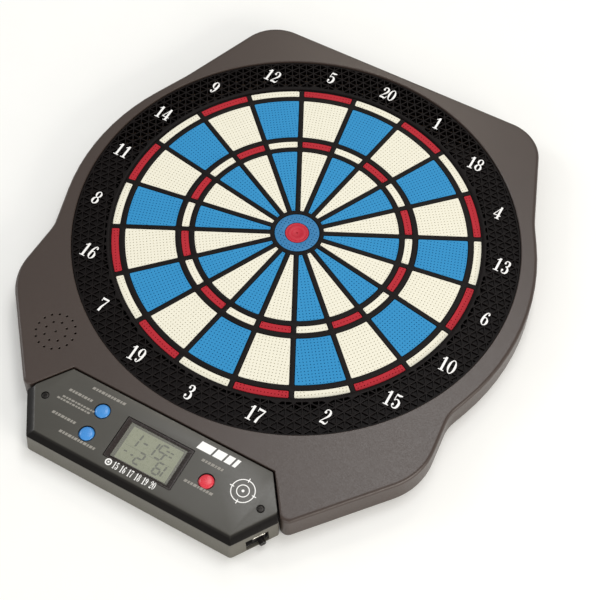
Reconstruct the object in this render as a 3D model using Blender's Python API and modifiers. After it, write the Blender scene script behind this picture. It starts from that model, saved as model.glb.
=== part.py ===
# Electronic soft-tip dartboard, lying on its back: +Z out of the playing face, +Y towards the 20,
# origin on the bull's axis in the plane of the rear cover. All sizes are given in millimetres.
import math

import bmesh
import bpy
from mathutils import Matrix, Vector

MM = 0.001
GAP = 0.3                      # clearance between pieces that meet

# ---- overall ----
DEPTH = 26.0                   # rear plane to the frame's face
PLAY_LEVEL = 22.0              # height of the playing face
WALL = 2.5                     # wall of the moulded shells
EDGE_ROUND = 3.3               # round on the frame's front edge
WALL_FLARE = 4.3               # how far the frame's wall stands out at its foot
FOOT = 0.3                     # foot of the side walls above the rear plane

# ---- target, radii ----
NUMBERS = (20, 1, 18, 4, 13, 6, 10, 15, 2, 17, 3, 19, 7, 16, 8, 11, 14, 9, 12, 5)
SECTOR_ANGLE = 360.0 / len(NUMBERS)
INNER_BULL = 11.2
OUTER_BULL = 19.8
RIB = 4.3                      # width of the radial ribs
CELLS = {                      # inner and outer radius of each row of openings, and its arc steps
    "inner_single": (24.8, 95.0, 2),
    "triple": (99.9, 107.2, 2),
    "outer_single": (112.3, 158.7, 2),
    "double": (163.8, 171.2, 2),
}
SPIDER_EDGE = 213.0
FRAME_OPENING = 207.2
RING_INNER = 172.0             # number ring
RING_TOP = 24.0
SPIDER_BACK = 18.2
SPIDER_FRONT = 22.3
WEB = (16.5, 17.9)             # thin back web of a sector, low and high
TRAVEL = 1.2                   # press of a sector or a bull
MAT = (13.3, 15.0)
MEMBRANE = (12.5, 13.0)
BOARD = (9.0, 12.2)
MAT_RADIUS, MEMBRANE_RADIUS, BOARD_RADIUS = 176.0, 178.0, 205.0

# ---- frame outline: corner, fillet radius and kind of the edge that leaves the corner ----
FRAME_HALF = (
    (150.7, 214.2, 37.8, "wall"),
    (186.6, 115.4, 95.0, "wall"),
    (240.8, 8.8, 219.1, "wall"),
    (199.7, -101.9, 40.0, "wall"),
    (204.4, -162.1, 56.8, "wall"),
    (124.2, -254.9, 7.0, "notch"),
    (98.6, -218.8, 1.5, "notch"),
)
FRAME_LEFT = (                 # the left half is a little narrower than the right one
    (146.2, 212.9, 37.8),
    (183.8, 110.5, 95.0),
    (229.0, 8.0, 202.0),
    (195.0, -104.0, 40.0),
    (196.4, -165.2, 52.0),
    (122.8, -252.9, 7.0),
    (98.6, -218.8, 1.5),
)
# ---- control module, a long hexagon in the notch at the bottom ----
MODULE_HALF = (
    (98.0, -220.0, 1.5, "upper"),
    (122.5, -254.5, 2.5, "lower"),
    (98.0, -291.0, 2.0, "lower"),
)
MODULE_TOP = 25.2
MODULE_SPLIT = 21.1            # where the smoked cover meets the module's base
MODULE_DRAFT = 2.4
COVER_BEVEL = 6.8
COVER_PLATE = 2.0
ARC_STEP = math.radians(9.0)

BUTTON_X, BUTTON_MID_Y, BUTTON_PITCH = 54.3, -253.8, 23.6
BUTTON_RADIUS, BUTTON_HOLE = 6.4, 7.0
BUTTON_TOP = 26.3
BEZEL = (64.8, 39.9)
WINDOW = (54.2, 33.8)
DISPLAY_Y = -255.2
SCREW_X, SCREW_Y = 104.5, -253.0

# ---- speaker, screws, keyholes, battery bay, power socket ----
SPEAKER = (-132.1, -197.6)
SPEAKER_HOLE = 1.5
SPEAKER_ROWS = ((0.0, 1), (9.8, 8), (17.4, 16))
FRAME_SCREWS = ((148.0, 182.0), (186.0, -118.0), (138.0, -222.0))
BOSS, PILOT, SHANK, HEAD = 4.0, 1.5, 1.2, 3.0
COVER_THICK = 3.0
COVER_GAP = 0.8                # around the rear cover, inside the tapering walls
KEYHOLES = ((0.0, 172.0), (-130.0, -130.0), (130.0, -130.0))
KEYHOLE_ROUND, KEYHOLE_SLOT, KEYHOLE_RISE = 4.8, 2.6, 9.0
BAY_Y = -259.0
BAY = (58.0, 46.0, 17.3)       # inside of the battery bay: width, length and height
BAY_WALL = 1.5
DOOR_TRAVEL = 8.0
DOOR = (65.4, 49.6)
DOOR_LEVELS = (0.3, 1.4)
CELL_RADIUS, CELL_LENGTH, CELL_PITCH, CELL_Z = 7.05, 49.2, 15.1, 9.6
JACK_ALONG = 17.0              # from the module's widest corner down its lower right wall
JACK_Z = 6.0

COLLECTION = "electronic_dartboard"
CUTTERS = "cutters"


def clear_scene():
    for obj in list(bpy.data.objects):
        bpy.data.objects.remove(obj, do_unlink=True)
    for name in (COLLECTION, CUTTERS):
        collection = bpy.data.collections.new(name)
        bpy.context.scene.collection.children.link(collection)


def plastic(name, color, roughness, metallic=0.0, alpha=1.0):
    material = bpy.data.materials.new(name)
    material.use_nodes = True
    shader = material.node_tree.nodes["Principled BSDF"]
    shader.inputs["Base Color"].default_value = (*color, 1.0)
    shader.inputs["Roughness"].default_value = roughness
    shader.inputs["Metallic"].default_value = metallic
    shader.inputs["Alpha"].default_value = alpha
    return material


def place(obj, name, collection=COLLECTION, material=None):
    obj.name = name
    for owner in list(obj.users_collection):
        owner.objects.unlink(obj)
    bpy.data.collections[collection].objects.link(obj)
    if collection == CUTTERS:
        obj.hide_render = True
        obj.display_type = "WIRE"
    if material is not None:
        obj.data.materials.clear()
        obj.data.materials.append(material)
    return obj


# ---- outlines ----
def mirrored(half, other=None):
    """Corners of a whole outline, clockwise from the top right; other holds the left half if it differs."""
    top_kind = "wall" if half[0][3] == "wall" else "top"
    kinds = [top_kind] + [corner[3] for corner in half[:-1]]
    left = [(-x, y, radius, kind) for (x, y, radius, *_), kind in zip(other or half, kinds)]
    return list(half) + left[::-1]


def outline(corners, grow):
    """A clockwise outline with filleted corners; grow moves each kind of edge outwards."""
    count = len(corners)
    lines = []
    for index in range(count):
        start = Vector(corners[index][:2])
        end = Vector(corners[(index + 1) % count][:2])
        along = (end - start).normalized()
        outward = Vector((-along.y, along.x))
        lines.append((start + outward * grow.get(corners[index][3], 0.0), along))
    points = []
    for index in range(count):
        (p, u), (q, v) = lines[index - 1], lines[index]
        turn = u.x * v.y - u.y * v.x
        t = ((q.x - p.x) * v.y - (q.y - p.y) * v.x) / turn
        corner = p + u * t
        before = grow.get(corners[index - 1][3], 0.0)
        after = grow.get(corners[index][3], 0.0)
        radius = corners[index][2]
        if abs(before - after) < 1e-9:
            radius += before if turn < 0 else -before
        radius = max(radius, 0.4)
        points += fillet(corner, u, v, radius)
    return points


def fillet(corner, u, v, radius):
    bend = math.atan2(u.x * v.y - u.y * v.x, u.dot(v))
    reach = radius * math.tan(abs(bend) / 2)
    start = corner - u * reach
    side = 1 if bend > 0 else -1
    centre = start + Vector((-u.y, u.x)) * (side * radius)
    steps = max(1, round(abs(bend) / ARC_STEP))
    spoke = start - centre
    found = []
    for step in range(steps + 1):
        angle = bend * step / steps
        found.append(centre + Vector((spoke.x * math.cos(angle) - spoke.y * math.sin(angle),
                                      spoke.x * math.sin(angle) + spoke.y * math.cos(angle))))
    return found


def circle(radius, steps, centre=(0.0, 0.0)):
    turns = (2 * math.pi * step / steps for step in range(steps))
    return [Vector((centre[0] + radius * math.cos(a), centre[1] + radius * math.sin(a))) for a in turns]


def rectangle(width, height, centre=(0.0, 0.0)):
    x, y = centre
    signs = ((-1, -1), (1, -1), (1, 1), (-1, 1))
    return [Vector((x + a * width / 2, y + b * height / 2)) for a, b in signs]


def wedge(inner, outer, side_gap, steps):
    """A cell of one sector about +Y: its sides stay side_gap from the sector's edge lines."""
    half = math.radians(SECTOR_ANGLE / 2)
    points = []
    for radius, direction, count in ((outer, 1, steps), (inner, -1, max(1, steps - 1))):
        reach = half - math.asin(side_gap / radius)
        for step in range(count + 1):
            angle = direction * reach * (1 - 2 * step / count)
            points.append(Vector((-radius * math.sin(angle), radius * math.cos(angle))))
    return points


def keyhole_outline(centre):
    x, y = centre
    reach = math.asin(KEYHOLE_SLOT / KEYHOLE_ROUND)
    points = []
    for step in range(13):
        angle = math.pi / 2 + reach + (2 * math.pi - 2 * reach) * step / 12
        points.append(Vector((x + KEYHOLE_ROUND * math.cos(angle), y + KEYHOLE_ROUND * math.sin(angle))))
    for step in range(7):
        angle = math.pi * step / 6
        across, along = KEYHOLE_SLOT * math.cos(angle), KEYHOLE_SLOT * math.sin(angle)
        points.append(Vector((x + across, y + KEYHOLE_RISE + along)))
    return points


def spin(points, degrees):
    turn = Matrix.Rotation(math.radians(degrees), 2)
    return [turn @ point for point in points]


# ---- solids ----
def loft(name, levels, collection=COLLECTION, material=None):
    """A closed solid through matching outlines, given as (height, points) from low to high."""
    mesh = bmesh.new()
    rings = [[mesh.verts.new((p.x * MM, p.y * MM, z * MM)) for p in points] for z, points in levels]
    mesh.faces.new(rings[0][::-1])
    mesh.faces.new(rings[-1])
    for low, high in zip(rings, rings[1:]):
        for index in range(len(low)):
            after = (index + 1) % len(low)
            mesh.faces.new((low[index], low[after], high[after], high[index]))
    bmesh.ops.recalc_face_normals(mesh, faces=mesh.faces)
    data = bpy.data.meshes.new(name)
    mesh.to_mesh(data)
    mesh.free()
    return place(bpy.data.objects.new(name, data), name, collection, material)


def plate(name, loops, low, high, collection=COLLECTION, material=None):
    """A flat piece between two heights, filled between its outer loop and the loops inside it."""
    curve = bpy.data.curves.new(name, "CURVE")
    curve.dimensions = "2D"
    curve.fill_mode = "BOTH"
    curve.extrude = (high - low) / 2 * MM
    for loop in loops:
        spline = curve.splines.new("POLY")
        spline.points.add(len(loop) - 1)
        for point, at in zip(spline.points, loop):
            point.co = (at.x * MM, at.y * MM, 0.0, 1.0)
        spline.use_cyclic_u = True
    flat = bpy.data.objects.new(name, curve)
    bpy.context.scene.collection.objects.link(flat)
    bpy.context.view_layer.update()
    data = bpy.data.meshes.new_from_object(flat.evaluated_get(bpy.context.evaluated_depsgraph_get()))
    bpy.data.objects.remove(flat)
    bpy.data.curves.remove(curve)
    mesh = bmesh.new()
    mesh.from_mesh(data)
    bmesh.ops.remove_doubles(mesh, verts=mesh.verts, dist=1e-6)
    bmesh.ops.recalc_face_normals(mesh, faces=mesh.faces)
    mesh.to_mesh(data)
    mesh.free()
    obj = place(bpy.data.objects.new(name, data), name, collection, material)
    obj.location.z = (low + high) / 2 * MM
    return obj


def turned(name, profile, steps, collection=COLLECTION, material=None):
    """A turned piece about Z. The profile is a closed loop of (radius, height), down its outer side."""
    data = bpy.data.meshes.new(name)
    edges = [(index, (index + 1) % len(profile)) for index in range(len(profile))]
    if profile[0][0] == 0.0 and profile[-1][0] == 0.0:
        edges = edges[:-1]
    data.from_pydata([(r * MM, 0.0, z * MM) for r, z in profile], edges, [])
    obj = place(bpy.data.objects.new(name, data), name, collection, material)
    screw = obj.modifiers.new("turn", "SCREW")
    screw.steps = steps
    screw.render_steps = steps
    screw.use_merge_vertices = True
    screw.merge_threshold = 0.00001
    return obj


def pegs(name, places, radius, low, high, sides, collection=CUTTERS):
    """Upright round bodies in one mesh, each made by create_cone."""
    mesh = bmesh.new()
    for x, y in places:
        at = Matrix.Translation(Vector((x, y, (low + high) / 2)) * MM)
        bmesh.ops.create_cone(mesh, cap_ends=True, segments=sides, radius1=radius * MM,
                              radius2=radius * MM, depth=(high - low) * MM, matrix=at)
    data = bpy.data.meshes.new(name)
    mesh.to_mesh(data)
    mesh.free()
    return place(bpy.data.objects.new(name, data), name, collection)


def block(name, low, high, collection=COLLECTION, material=None, turn=0.0, pivot=(0.0, 0.0)):
    """A box between two corners, turned about an upright line through pivot."""
    mesh = bmesh.new()
    size = [high[axis] - low[axis] for axis in range(3)]
    middle = Vector([(high[axis] + low[axis]) / 2 for axis in range(3)])
    shape = Matrix.Translation(middle * MM) @ Matrix.Diagonal([*[side * MM for side in size], 1.0])
    bmesh.ops.create_cube(mesh, size=1.0, matrix=shape)
    data = bpy.data.meshes.new(name)
    mesh.to_mesh(data)
    mesh.free()
    obj = place(bpy.data.objects.new(name, data), name, collection, material)
    obj.rotation_euler.z = turn
    obj.location = (pivot[0] * MM, pivot[1] * MM, 0.0)
    return obj


def combine(obj, other, operation="DIFFERENCE"):
    modifier = obj.modifiers.new(operation.lower() + "_" + other.name, "BOOLEAN")
    modifier.operation = operation
    modifier.object = other
    modifier.solver = "EXACT"
    return obj


def both_sides(places):
    return [(x * side, y) for x, y in places for side in (1, -1)]


# ---- frame and covers ----
def make_front_frame(material):
    corners = mirrored(FRAME_HALF, FRAME_LEFT)
    levels = [(FOOT, outline(corners, {"wall": WALL_FLARE}))]
    for degrees in (90, 45, 0):
        out = EDGE_ROUND * math.sin(math.radians(degrees))
        down = EDGE_ROUND * (1 - math.cos(math.radians(degrees)))
        levels.append((DEPTH - down, outline(corners, {"wall": out})))
    frame = loft("front_frame", levels, material=material)
    hollow = [(-1.0, outline(corners, {"wall": WALL_FLARE - WALL, "notch": -WALL})),
              (DEPTH - WALL, outline(corners, {"wall": 0.3, "notch": -WALL}))]
    combine(frame, loft("frame_hollow", hollow, CUTTERS))
    combine(frame, pegs("target_opening", [(0.0, 0.0)], FRAME_OPENING, 20.0, 30.0, 90))
    sites = both_sides(FRAME_SCREWS)
    combine(frame, pegs("frame_bosses", sites, BOSS, COVER_THICK + GAP, 24.0, 12), "UNION")
    combine(frame, pegs("frame_pilots", sites, PILOT, 0.0, 18.0, 8))
    combine(frame, block("cover_way", (-89.5, -224.0, -1.0), (89.5, -213.0, COVER_THICK + GAP), CUTTERS))
    combine(frame, block("frame_tail_way", (-15.0, -224.0, 10.0), (15.0, -213.0, 15.0), CUTTERS))
    holes = []
    for radius, count in SPEAKER_ROWS:
        holes += [(SPEAKER[0] + p.x, SPEAKER[1] + p.y) for p in circle(radius, count)]
    combine(frame, pegs("speaker_holes", holes, SPEAKER_HOLE, 20.0, 30.0, 5))
    return frame


def make_rear_cover(material):
    inwards = -WALL - COVER_GAP
    frame_corners = mirrored(FRAME_HALF, FRAME_LEFT)
    frame_inside = outline(frame_corners, {"wall": WALL_FLARE + inwards, "notch": inwards})
    module_inside = outline(mirrored(MODULE_HALF), {"upper": inwards, "top": inwards, "lower": -COVER_GAP})
    cover = plate("rear_cover", [frame_inside], 0.0, COVER_THICK, material=material)
    combine(cover, plate("module_part", [module_inside], 0.0, COVER_THICK, CUTTERS), "UNION")
    bridge = plate("cover_bridge", [rectangle(178.0, 16.0, (0.0, -220.0))], 0.0, COVER_THICK, CUTTERS)
    combine(cover, bridge, "UNION")
    rib_ring = [(162.5, BOARD[0] - GAP), (162.5, 1.0), (160.0, 1.0), (160.0, BOARD[0] - GAP)]
    combine(cover, turned("support_ring", rib_ring, 32, CUTTERS), "UNION")
    hub_ring = [(32.0, BOARD[0] - GAP), (32.0, 1.0), (30.0, 1.0), (30.0, BOARD[0] - GAP)]
    combine(cover, turned("support_hub", hub_ring, 16, CUTTERS), "UNION")
    width, length, height = (side / 2 for side in BAY)
    out = BAY_WALL
    shell = block("bay_shell", (-width - out, BAY_Y - length - out, 1.0),
                  (width + out, BAY_Y + length + out, BAY[2] + out), CUTTERS)
    combine(cover, shell, "UNION")
    inside = block("bay_inside", (-width, BAY_Y - length, -1.0), (width, BAY_Y + length, BAY[2]), CUTTERS)
    combine(cover, inside)
    recess = block("door_recess", (-DOOR[0] / 2 - GAP, BAY_Y - DOOR[1] / 2 - GAP, -1.0),
                   (DOOR[0] / 2 + GAP + DOOR_TRAVEL, BAY_Y + DOOR[1] / 2 + GAP, DOOR_LEVELS[1] + GAP),
                   CUTTERS)
    combine(cover, recess)
    combine(cover, pegs("cover_screw_holes", both_sides(FRAME_SCREWS), PILOT + 0.2, -1.0, 5.0, 8))
    combine(cover, pegs("cover_head_recesses", both_sides(FRAME_SCREWS), HEAD + 0.4, -1.0, 1.9, 12))
    for index, centre in enumerate(KEYHOLES):
        hole = plate(f"keyhole_{index + 1}", [keyhole_outline(centre)], -1.0, 5.0, CUTTERS)
        combine(cover, hole)
    return cover


def module_wall_frame():
    """Corner, direction and outward normal of the module's lower right wall."""
    start, end = Vector(MODULE_HALF[1][:2]), Vector(MODULE_HALF[2][:2])
    along = (end - start).normalized()
    return start, along, Vector((-along.y, along.x))


def jack_centre():
    start, along, _ = module_wall_frame()
    return start + along * JACK_ALONG


def make_module_base(material):
    corners = mirrored(MODULE_HALF)
    top = MODULE_SPLIT - GAP
    base = loft("module_base", [(FOOT, outline(corners, {"lower": MODULE_DRAFT})),
                                (top, outline(corners, {}))], material=material)
    inside = {"upper": -WALL, "top": -WALL, "lower": -WALL}
    foot = {"upper": -WALL, "top": -WALL, "lower": 0.0}
    hollow = [(-1.0, outline(corners, foot)), (30.0, outline(corners, inside))]
    combine(base, loft("module_hollow", hollow, CUTTERS))
    sites = both_sides([(SCREW_X, SCREW_Y)])
    for side, name in ((1, "right"), (-1, "left")):
        near, far = sorted((side * SCREW_X, side * 120.5))
        low_corner, high_corner = (near, SCREW_Y - 1.2, 6.0), (far, SCREW_Y + 1.2, top - 0.1)
        web = block(f"{name}_boss_web", low_corner, high_corner, CUTTERS)
        combine(base, web, "UNION")
    combine(base, pegs("module_bosses", sites, BOSS, 6.0, top, 12), "UNION")
    combine(base, pegs("module_pilots", sites, PILOT, 9.0, 30.0, 8))
    cover_way = block("base_cover_way", (-89.5, -224.0, -1.0), (89.5, -216.0, COVER_THICK + GAP), CUTTERS)
    combine(base, cover_way)
    combine(base, block("base_tail_way", (-15.0, -224.0, 10.0), (15.0, -216.0, 15.0), CUTTERS))
    _, along, _ = module_wall_frame()
    place_at = jack_centre()
    window = block("jack_window", (-7.2, -8.0, 1.0), (13.5, 8.0, 15.0), CUTTERS,
                   turn=math.atan2(along.y, along.x), pivot=place_at)
    combine(base, window)
    return base


def make_module_cover(material):
    corners = mirrored(MODULE_HALF)
    top = {"upper": -0.8, "top": -0.8, "lower": -COVER_BEVEL}
    foot = outline(corners, {})
    levels = [(MODULE_SPLIT, foot), (MODULE_SPLIT + 0.6, foot), (MODULE_TOP, outline(corners, top))]
    cover = loft("module_cover", levels, material=material)
    under = MODULE_TOP - COVER_PLATE
    low = {"upper": -2.6, "top": -2.6, "lower": -2.0}
    high = {"upper": -2.6, "top": -2.6, "lower": -COVER_BEVEL - 0.6}
    hollow = [(MODULE_SPLIT - 1.0, outline(corners, low)), (under, outline(corners, high))]
    combine(cover, loft("cover_hollow", hollow, CUTTERS))
    bezel_hole = [coordinate + 2 * GAP for coordinate in BEZEL]
    combine(cover, plate("bezel_hole", [rectangle(*bezel_hole, (0.0, DISPLAY_Y))], 20.0, 30.0, CUTTERS))
    combine(cover, pegs("button_holes", button_places(), BUTTON_HOLE, 20.0, 30.0, 24))
    sites = both_sides([(SCREW_X, SCREW_Y)])
    combine(cover, pegs("cover_shank_holes", sites, PILOT + 0.1, 20.0, 30.0, 8))
    combine(cover, pegs("cover_dimples", sites, HEAD + 0.3, MODULE_TOP - 1.2, 30.0, 12))
    return cover


# ---- target ----
def make_spider(material):
    loops = [circle(SPIDER_EDGE, 72), circle(OUTER_BULL, 32)]
    for inner, outer, steps in CELLS.values():
        for index in range(len(NUMBERS)):
            loops.append(spin(wedge(inner, outer, RIB / 2, steps), -index * SECTOR_ANGLE))
    return plate("spider_grid", loops, SPIDER_BACK, SPIDER_FRONT, material=material)


def make_sector_mesh():
    """One sector about +Y: a thin back web that carries its single, triple, single and double blocks."""
    first, last = CELLS["inner_single"][0] + 1.2, CELLS["double"][1] + 1.6
    sector = plate("sector", [wedge(first, last, GAP, 4)], *WEB)
    for name, (inner, outer, steps) in CELLS.items():
        loop = wedge(inner + GAP, outer - GAP, RIB / 2 + GAP, steps)
        combine(sector, plate(name, [loop], WEB[0] + 0.4, PLAY_LEVEL, CUTTERS), "UNION")
    bpy.context.view_layer.update()
    data = bpy.data.meshes.new_from_object(sector.evaluated_get(bpy.context.evaluated_depsgraph_get()))
    data.transform(Matrix.Translation(sector.location))
    bpy.data.objects.remove(sector)
    data.name = "sector"
    return data


def make_sectors(dark, light):
    data = make_sector_mesh()
    for index, number in enumerate(NUMBERS):
        obj = place(bpy.data.objects.new(f"sector_{number}", data), f"sector_{number}")
        obj.rotation_euler.z = math.radians(-index * SECTOR_ANGLE)
        if not data.materials:
            data.materials.append(dark)
        obj.material_slots[0].link = "OBJECT"
        obj.material_slots[0].material = light if index % 2 else dark


def make_bulls(inner_material, outer_material):
    low, web_top = WEB
    flange, core, step = 14.6, INNER_BULL - GAP, WEB[1] + TRAVEL + GAP
    inner = [(0.0, PLAY_LEVEL - 1.2), (4.5, PLAY_LEVEL - 1.0), (6.0, PLAY_LEVEL), (core, PLAY_LEVEL),
             (core, web_top), (flange, web_top), (flange, low), (0.0, low)]
    turned("inner_bull", inner, 20, material=inner_material)
    outside = OUTER_BULL - GAP
    outer = [(INNER_BULL + 0.2, PLAY_LEVEL), (outside, PLAY_LEVEL), (outside, web_top), (24.4, web_top),
             (24.4, low), (flange + 0.5, low), (flange + 0.5, step), (INNER_BULL + 0.2, step)]
    turned("outer_bull", outer, 24, material=outer_material)


def make_number_ring(material):
    outer, base = FRAME_OPENING - GAP, SPIDER_FRONT + GAP
    ring = [(RING_INNER + 2.0, RING_TOP), (outer, RING_TOP), (outer, base), (RING_INNER, base),
            (RING_INNER, base + 0.8)]
    turned("number_ring", ring, 64, material=material)


def make_sensor_stack(rubber, film, board):
    plate("rubber_mat", [circle(MAT_RADIUS, 64)], *MAT, material=rubber)
    membrane = plate("sensor_membrane", [circle(MEMBRANE_RADIUS, 64)], *MEMBRANE, material=film)
    tail = block("tail_run", (-11.0, -231.0, MEMBRANE[0]), (11.0, -170.0, MEMBRANE[1]), CUTTERS)
    rise = block("tail_rise", (-11.0, -231.5, MEMBRANE[0]), (11.0, -231.0 + 0.6, 18.5), CUTTERS)
    combine(combine(membrane, tail, "UNION"), rise, "UNION")
    plate("backing_board", [circle(BOARD_RADIUS, 64)], *BOARD, material=board)


# ---- sound, display and buttons ----
def make_speaker(material, ring_material):
    profile = [(0.0, 19.5), (7.0, 19.5), (15.0, 22.3), (18.5, 22.3),
               (18.5, 20.8), (10.5, 13.5), (10.5, 8.5), (0.0, 8.5)]
    speaker = turned("speaker", profile, 18, material=material)
    gasket = turned("speaker_gasket", [(18.5, 23.1), (18.5, 22.6), (16.0, 22.6), (16.0, 23.1)], 18,
                    material=ring_material)
    for obj in (speaker, gasket):
        obj.location = (SPEAKER[0] * MM, SPEAKER[1] * MM, 0.0)


def make_display(bezel_material, window_material, panel_material):
    centre = (0.0, DISPLAY_Y)
    opening = [side + 2 * GAP for side in WINDOW]
    plate("display_bezel", [rectangle(*BEZEL, centre), rectangle(*opening, centre)], 22.0, MODULE_TOP - 0.2,
          material=bezel_material)
    plate("display_window", [rectangle(*WINDOW, centre)], 23.6, 24.6, material=window_material)
    plate("lcd_panel", [rectangle(60.0, 38.0, centre)], 20.4, 21.7, material=panel_material)


def button_places():
    half = BUTTON_PITCH / 2
    return [(-BUTTON_X, BUTTON_MID_Y + half), (-BUTTON_X, BUTTON_MID_Y - half), (BUTTON_X, BUTTON_MID_Y)]


def make_buttons(blue, red, silicone):
    cap = [(0.0, BUTTON_TOP), (BUTTON_RADIUS - 1.4, BUTTON_TOP - 0.2),
           (BUTTON_RADIUS - 0.4, BUTTON_TOP - 0.7), (BUTTON_RADIUS, BUTTON_TOP - 1.5),
           (BUTTON_RADIUS, 22.9), (8.4, 22.9), (8.4, 22.1), (0.0, 22.1)]
    names = (("upper_blue_button", blue), ("lower_blue_button", blue), ("red_button", red))
    for (name, material), (x, y) in zip(names, button_places()):
        obj = turned(name, cap, 16, material=material)
        obj.location = (x * MM, y * MM, 0.0)
    for name, x, length in (("left_button_pad", -BUTTON_X, 42.0), ("right_button_pad", BUTTON_X, 18.0)):
        plate(name, [rectangle(18.0, length, (x, BUTTON_MID_Y))], 20.4, 21.0, material=silicone)


# ---- power and electronics ----
def make_control_board(material):
    plate("control_board", [rectangle(176.0, 58.0, (0.0, -255.5))], 18.9, 20.1, material=material)


def make_battery_parts(door_material, cell_material, metal):
    signs = ((1, 1), (1, -1), (-1, -1), (-1, 1))
    door_corners = [(a * DOOR[0] / 2, BAY_Y + b * DOOR[1] / 2, 2.0, "side") for a, b in signs]
    plate("battery_door", [outline(door_corners, {})], *DOOR_LEVELS, material=door_material)
    inner_x = BAY[0] / 2
    nub = 1.3
    tip = inner_x - GAP - 0.5 - GAP
    profile = [(0.0, nub), (2.7, nub), (2.7, 0.0), (CELL_RADIUS, 0.0),
               (CELL_RADIUS, -CELL_LENGTH), (0.0, -CELL_LENGTH)]
    cone = [(0.0, 5.3), (2.4, 5.3), (4.0, -0.2), (0.0, -0.2)]
    rows = [BAY_Y + CELL_PITCH * (index - 1) for index in range(3)]
    for index, y in enumerate(rows):
        cell = turned(f"cell_{index + 1}", profile, 16, material=cell_material)
        cell.rotation_euler = (0.0, math.radians(90 if index % 2 == 0 else -90), 0.0)
        cell.location = (((tip - nub) if index % 2 == 0 else (nub - tip)) * MM, y * MM, CELL_Z * MM)
    for side, name in ((1, "right_contacts"), (-1, "left_contacts")):
        face, back = sorted((side * (inner_x - GAP), side * (inner_x - GAP - 0.5)))
        strip = block(name, (face, rows[0] - 7.0, CELL_Z - 5.0), (back, rows[2] + 7.0, CELL_Z + 5.0),
                      material=metal)
        flat_ends = [y for index, y in enumerate(rows) if (index % 2 == 1) == (side == 1)]
        for index, y in enumerate(flat_ends):
            coil = turned(f"{name}_spring_{index + 1}", cone, 12, CUTTERS)
            coil.rotation_euler = (0.0, math.radians(-90 * side), 0.0)
            coil.location = (side * (inner_x - GAP - 0.5) * MM, y * MM, CELL_Z * MM)
            combine(strip, coil, "UNION")


def make_power_jack(material):
    """A socket block behind the wall, with a round nose that stands out of the window in the wall."""
    _, along, outward = module_wall_frame()
    centre = jack_centre()
    turn = math.atan2(along.y, along.x)
    jack = block("power_jack", (-5.0, -10.0, 3.4), (7.0, -0.5, 13.5), material=material,
                 turn=turn, pivot=centre)
    nose = ("jack_nose", 3.0, -2.0, 5.6, "UNION")
    bore = ("jack_bore", 1.7, -6.0, 7.0, "DIFFERENCE")
    for name, radius, start, end, how in (nose, bore):
        profile = [(0.0, end), (radius, end), (radius, start), (0.0, start)]
        body = turned(name, profile, 16, CUTTERS)
        tilt = outward.to_3d().to_track_quat("Z", "Y")
        body.rotation_mode = "QUATERNION"
        body.rotation_quaternion = tilt
        body.location = (centre.x * MM, centre.y * MM, JACK_Z * MM)
        combine(jack, body, how)


def make_screws(metal):
    rear = [(0.0, 15.0), (SHANK, 14.0), (SHANK, 1.6), (HEAD, 1.6), (HEAD, 0.5), (0.0, 0.5)]
    for index, (x, y) in enumerate(both_sides(FRAME_SCREWS)):
        screw = turned(f"rear_screw_{index + 1}", rear, 8, material=metal)
        screw.location = (x * MM, y * MM, 0.0)
    head = MODULE_TOP - 1.2 + GAP
    module = [(0.0, head + 0.7), (HEAD - 0.6, head + 0.6), (HEAD, head), (SHANK, head),
              (SHANK, 11.0), (0.0, 10.0)]
    for side, name in ((1, "right"), (-1, "left")):
        screw = turned(f"{name}_module_screw", module, 8, material=metal)
        screw.location = (side * SCREW_X * MM, SCREW_Y * MM, 0.0)


def make_all():
    clear_scene()
    grey = plastic("satin_grey_frame", (0.100, 0.085, 0.079), 0.45)
    back = plastic("rear_cover_black", (0.020, 0.020, 0.021), 0.55)
    black = plastic("grid_black", (0.012, 0.010, 0.011), 0.45)
    blue = plastic("segment_blue", (0.030, 0.246, 0.578), 0.5)
    ivory = plastic("segment_ivory", (0.812, 0.791, 0.651), 0.5)
    red = plastic("bull_red", (0.578, 0.015, 0.042), 0.45)
    smoked = plastic("smoked_cover", (0.070, 0.074, 0.062), 0.2)
    module_grey = plastic("module_base_grey", (0.145, 0.139, 0.110), 0.45)
    metal = plastic("zinc_steel", (0.55, 0.55, 0.56), 0.35, metallic=1.0)
    make_front_frame(grey)
    make_rear_cover(back)
    make_spider(black)
    make_sectors(blue, ivory)
    make_bulls(red, blue)
    make_number_ring(black)
    rubber = plastic("rubber_mat", (0.03, 0.03, 0.03), 0.8)
    film = plastic("sensor_film", (0.55, 0.58, 0.55), 0.3)
    make_sensor_stack(rubber, film, plastic("hardboard", (0.22, 0.13, 0.07), 0.8))
    cone = plastic("speaker_black", (0.02, 0.02, 0.02), 0.5)
    make_speaker(cone, plastic("foam_ring", (0.05, 0.05, 0.05), 0.9))
    make_module_base(module_grey)
    make_module_cover(smoked)
    bezel = plastic("bezel_dark", (0.027, 0.019, 0.018), 0.3)
    window = plastic("clear_window", (0.8, 0.85, 0.8), 0.05, alpha=0.35)
    make_display(bezel, window, plastic("lcd_grey", (0.37, 0.38, 0.26), 0.3))
    button_blue = plastic("button_blue", (0.048, 0.275, 0.631), 0.4)
    button_red = plastic("button_red", (0.686, 0.040, 0.064), 0.4)
    make_buttons(button_blue, button_red, plastic("silicone_pad", (0.5, 0.5, 0.48), 0.6))
    make_control_board(plastic("board_green", (0.02, 0.12, 0.05), 0.4))
    make_battery_parts(back, plastic("cell_wrap", (0.05, 0.05, 0.06), 0.35), metal)
    make_power_jack(plastic("jack_black", (0.015, 0.015, 0.015), 0.4))
    make_screws(metal)


make_all()
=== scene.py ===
import math

import bmesh
import bpy
from mathutils import Matrix, Vector


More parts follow.
